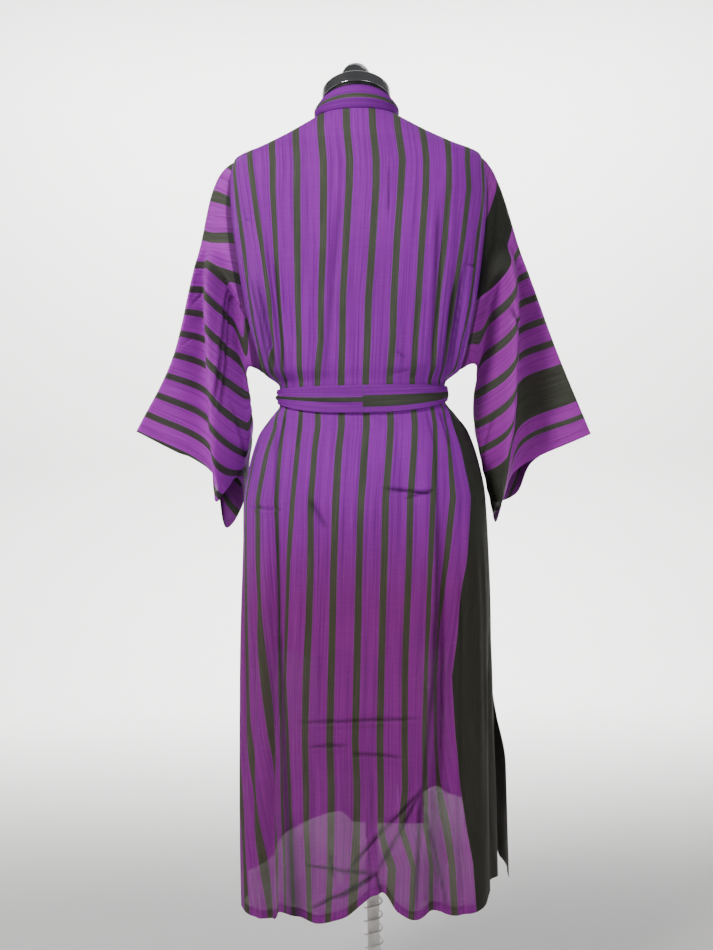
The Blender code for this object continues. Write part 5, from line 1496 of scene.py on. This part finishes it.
def wire_round_pole():
    """A tube along a helix whose ends are drawn in to the pole. The wire's section is turned by
    the helix's own outward and upward directions."""
    way = np.linspace(0, 1, SPIRAL_TURNS * 40 + 1)[:, None]
    angle = way * SPIRAL_TURNS * 2 * math.pi
    drawn_in = 1 - smooth_step(way, 0, 0.5 / SPIRAL_TURNS) * smooth_step(1 - way, 0, 0.5 / SPIRAL_TURNS)
    radius = SPIRAL_RADIUS + (SPIRAL_SEAT - SPIRAL_RADIUS) * drawn_in
    spin = np.linspace(0, 2 * math.pi, 13)[None, :]
    thick = SPIRAL_WIRE * np.where((way == 0) | (way == 1), 0.02, 1)
    reach = radius + thick * np.cos(spin)
    height = SPIRAL_FOOT + SPIRAL_PITCH * SPIRAL_TURNS * way + thick * np.sin(spin)
    return np.stack([reach * np.cos(angle), reach * np.sin(angle), height], axis=-1)


spiral = grid_mesh("stand_spiral_white", wire_round_pole(), {}, white, (0, 0, 0.14))
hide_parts("stand_spiral")


# The studio: a pale floor that curves up into a backdrop, large soft lights and the camera,
# level at the height of the form's hips, behind the robe.

FLOOR_END, WALL_FOOT, WALL_BEND, WALL_TOP, HALF_FLOOR = 4.5, -3.2, 1.0, 5.0, 5.5
FLOOR_GAP = 0.0005


def sweep():
    """A floor that turns up into a wall: a straight run, a quarter circle and a straight rise."""
    bend = np.linspace(0, math.pi / 2, 24)
    depth = np.concatenate([[FLOOR_END], WALL_FOOT - WALL_BEND * np.sin(bend), [WALL_FOOT - WALL_BEND]])
    height = np.concatenate([[0.0], WALL_BEND * (1 - np.cos(bend)), [WALL_TOP]]) - FLOOR_GAP
    side = np.linspace(-HALF_FLOOR, HALF_FLOOR, 9)
    return np.stack(np.broadcast_arrays(side[None, :], depth[:, None], height[:, None]), axis=-1)


def studio_paper():
    """Matt paper, faintly uneven."""
    paint = Paint("studio_paper", 0.9)
    uneven = paint.noise(paint.place(), 3.0, 2.0)
    return paint.feed(Base_Color=paint.mix(uneven, (0.86, 0.855, 0.84, 1), (0.90, 0.895, 0.88, 1)))


backdrop = grid_mesh("studio_floor", sweep(), {}, studio_paper(), (0, 2, 9))


def soft_light(name, size, power, place, aim, colour=(1.0, 1.0, 1.0), spread=180):
    """A large rectangular lamp that faces a point."""
    lamp = bpy.data.lights.new(name, "AREA")
    lamp.shape, lamp.size, lamp.size_y = "RECTANGLE", *size
    lamp.energy, lamp.color, lamp.spread = power, colour, math.radians(spread)
    holder = bpy.data.objects.new(name, lamp)
    holder.location = place
    holder.rotation_euler = (Vector(aim) - Vector(place)).to_track_quat("-Z", "Y").to_euler()
    bpy.context.scene.collection.objects.link(holder)


soft_light("key_light", (0.7, 0.5), 50, (1.3, 1.7, 2.8), (0, 0, 1.30), (1.0, 0.99, 0.97))
soft_light("fill_light", (1.2, 1.2), 21, (-1.5, 2.9, 1.6), (0, 0, 1.1), (0.97, 0.98, 1.0))
soft_light("front_light", (2.4, 1.6), 8, (-0.6, -1.2, 3.2), (0, 0, 1.0))
soft_light("left_light", (2.0, 2.4), 7, (2.6, 0.3, 1.5), (0, 0, 1.2))
soft_light("right_light", (2.0, 2.4), 7, (-2.6, 0.3, 1.5), (0, 0, 1.2))
soft_light("backdrop_light", (5.0, 0.8), 330, (0, -2.5, 3.9), (0, -4.2, 0.9), spread=110)
world = bpy.data.worlds.new("studio_air")
bpy.context.scene.world = world
world.use_nodes = True
world.node_tree.nodes["Background"].inputs["Color"].default_value = (0.92, 0.93, 0.95, 1)
world.node_tree.nodes["Background"].inputs["Strength"].default_value = 0.12

lens = bpy.data.cameras.new("camera")
lens.sensor_width = 36.0
lens.lens = 36.0 * 1400 / 950
camera = bpy.data.objects.new("camera", lens)
camera.matrix_world = (Matrix.Translation((0.0127, 2.33, 0.919)) @ Matrix.Rotation(math.pi, 4, "Z")
                       @ Matrix.Rotation(math.pi / 2, 4, "X") @ Matrix.Rotation(math.radians(-1.19), 4, "Z"))
bpy.context.scene.collection.objects.link(camera)
bpy.context.scene.camera = camera
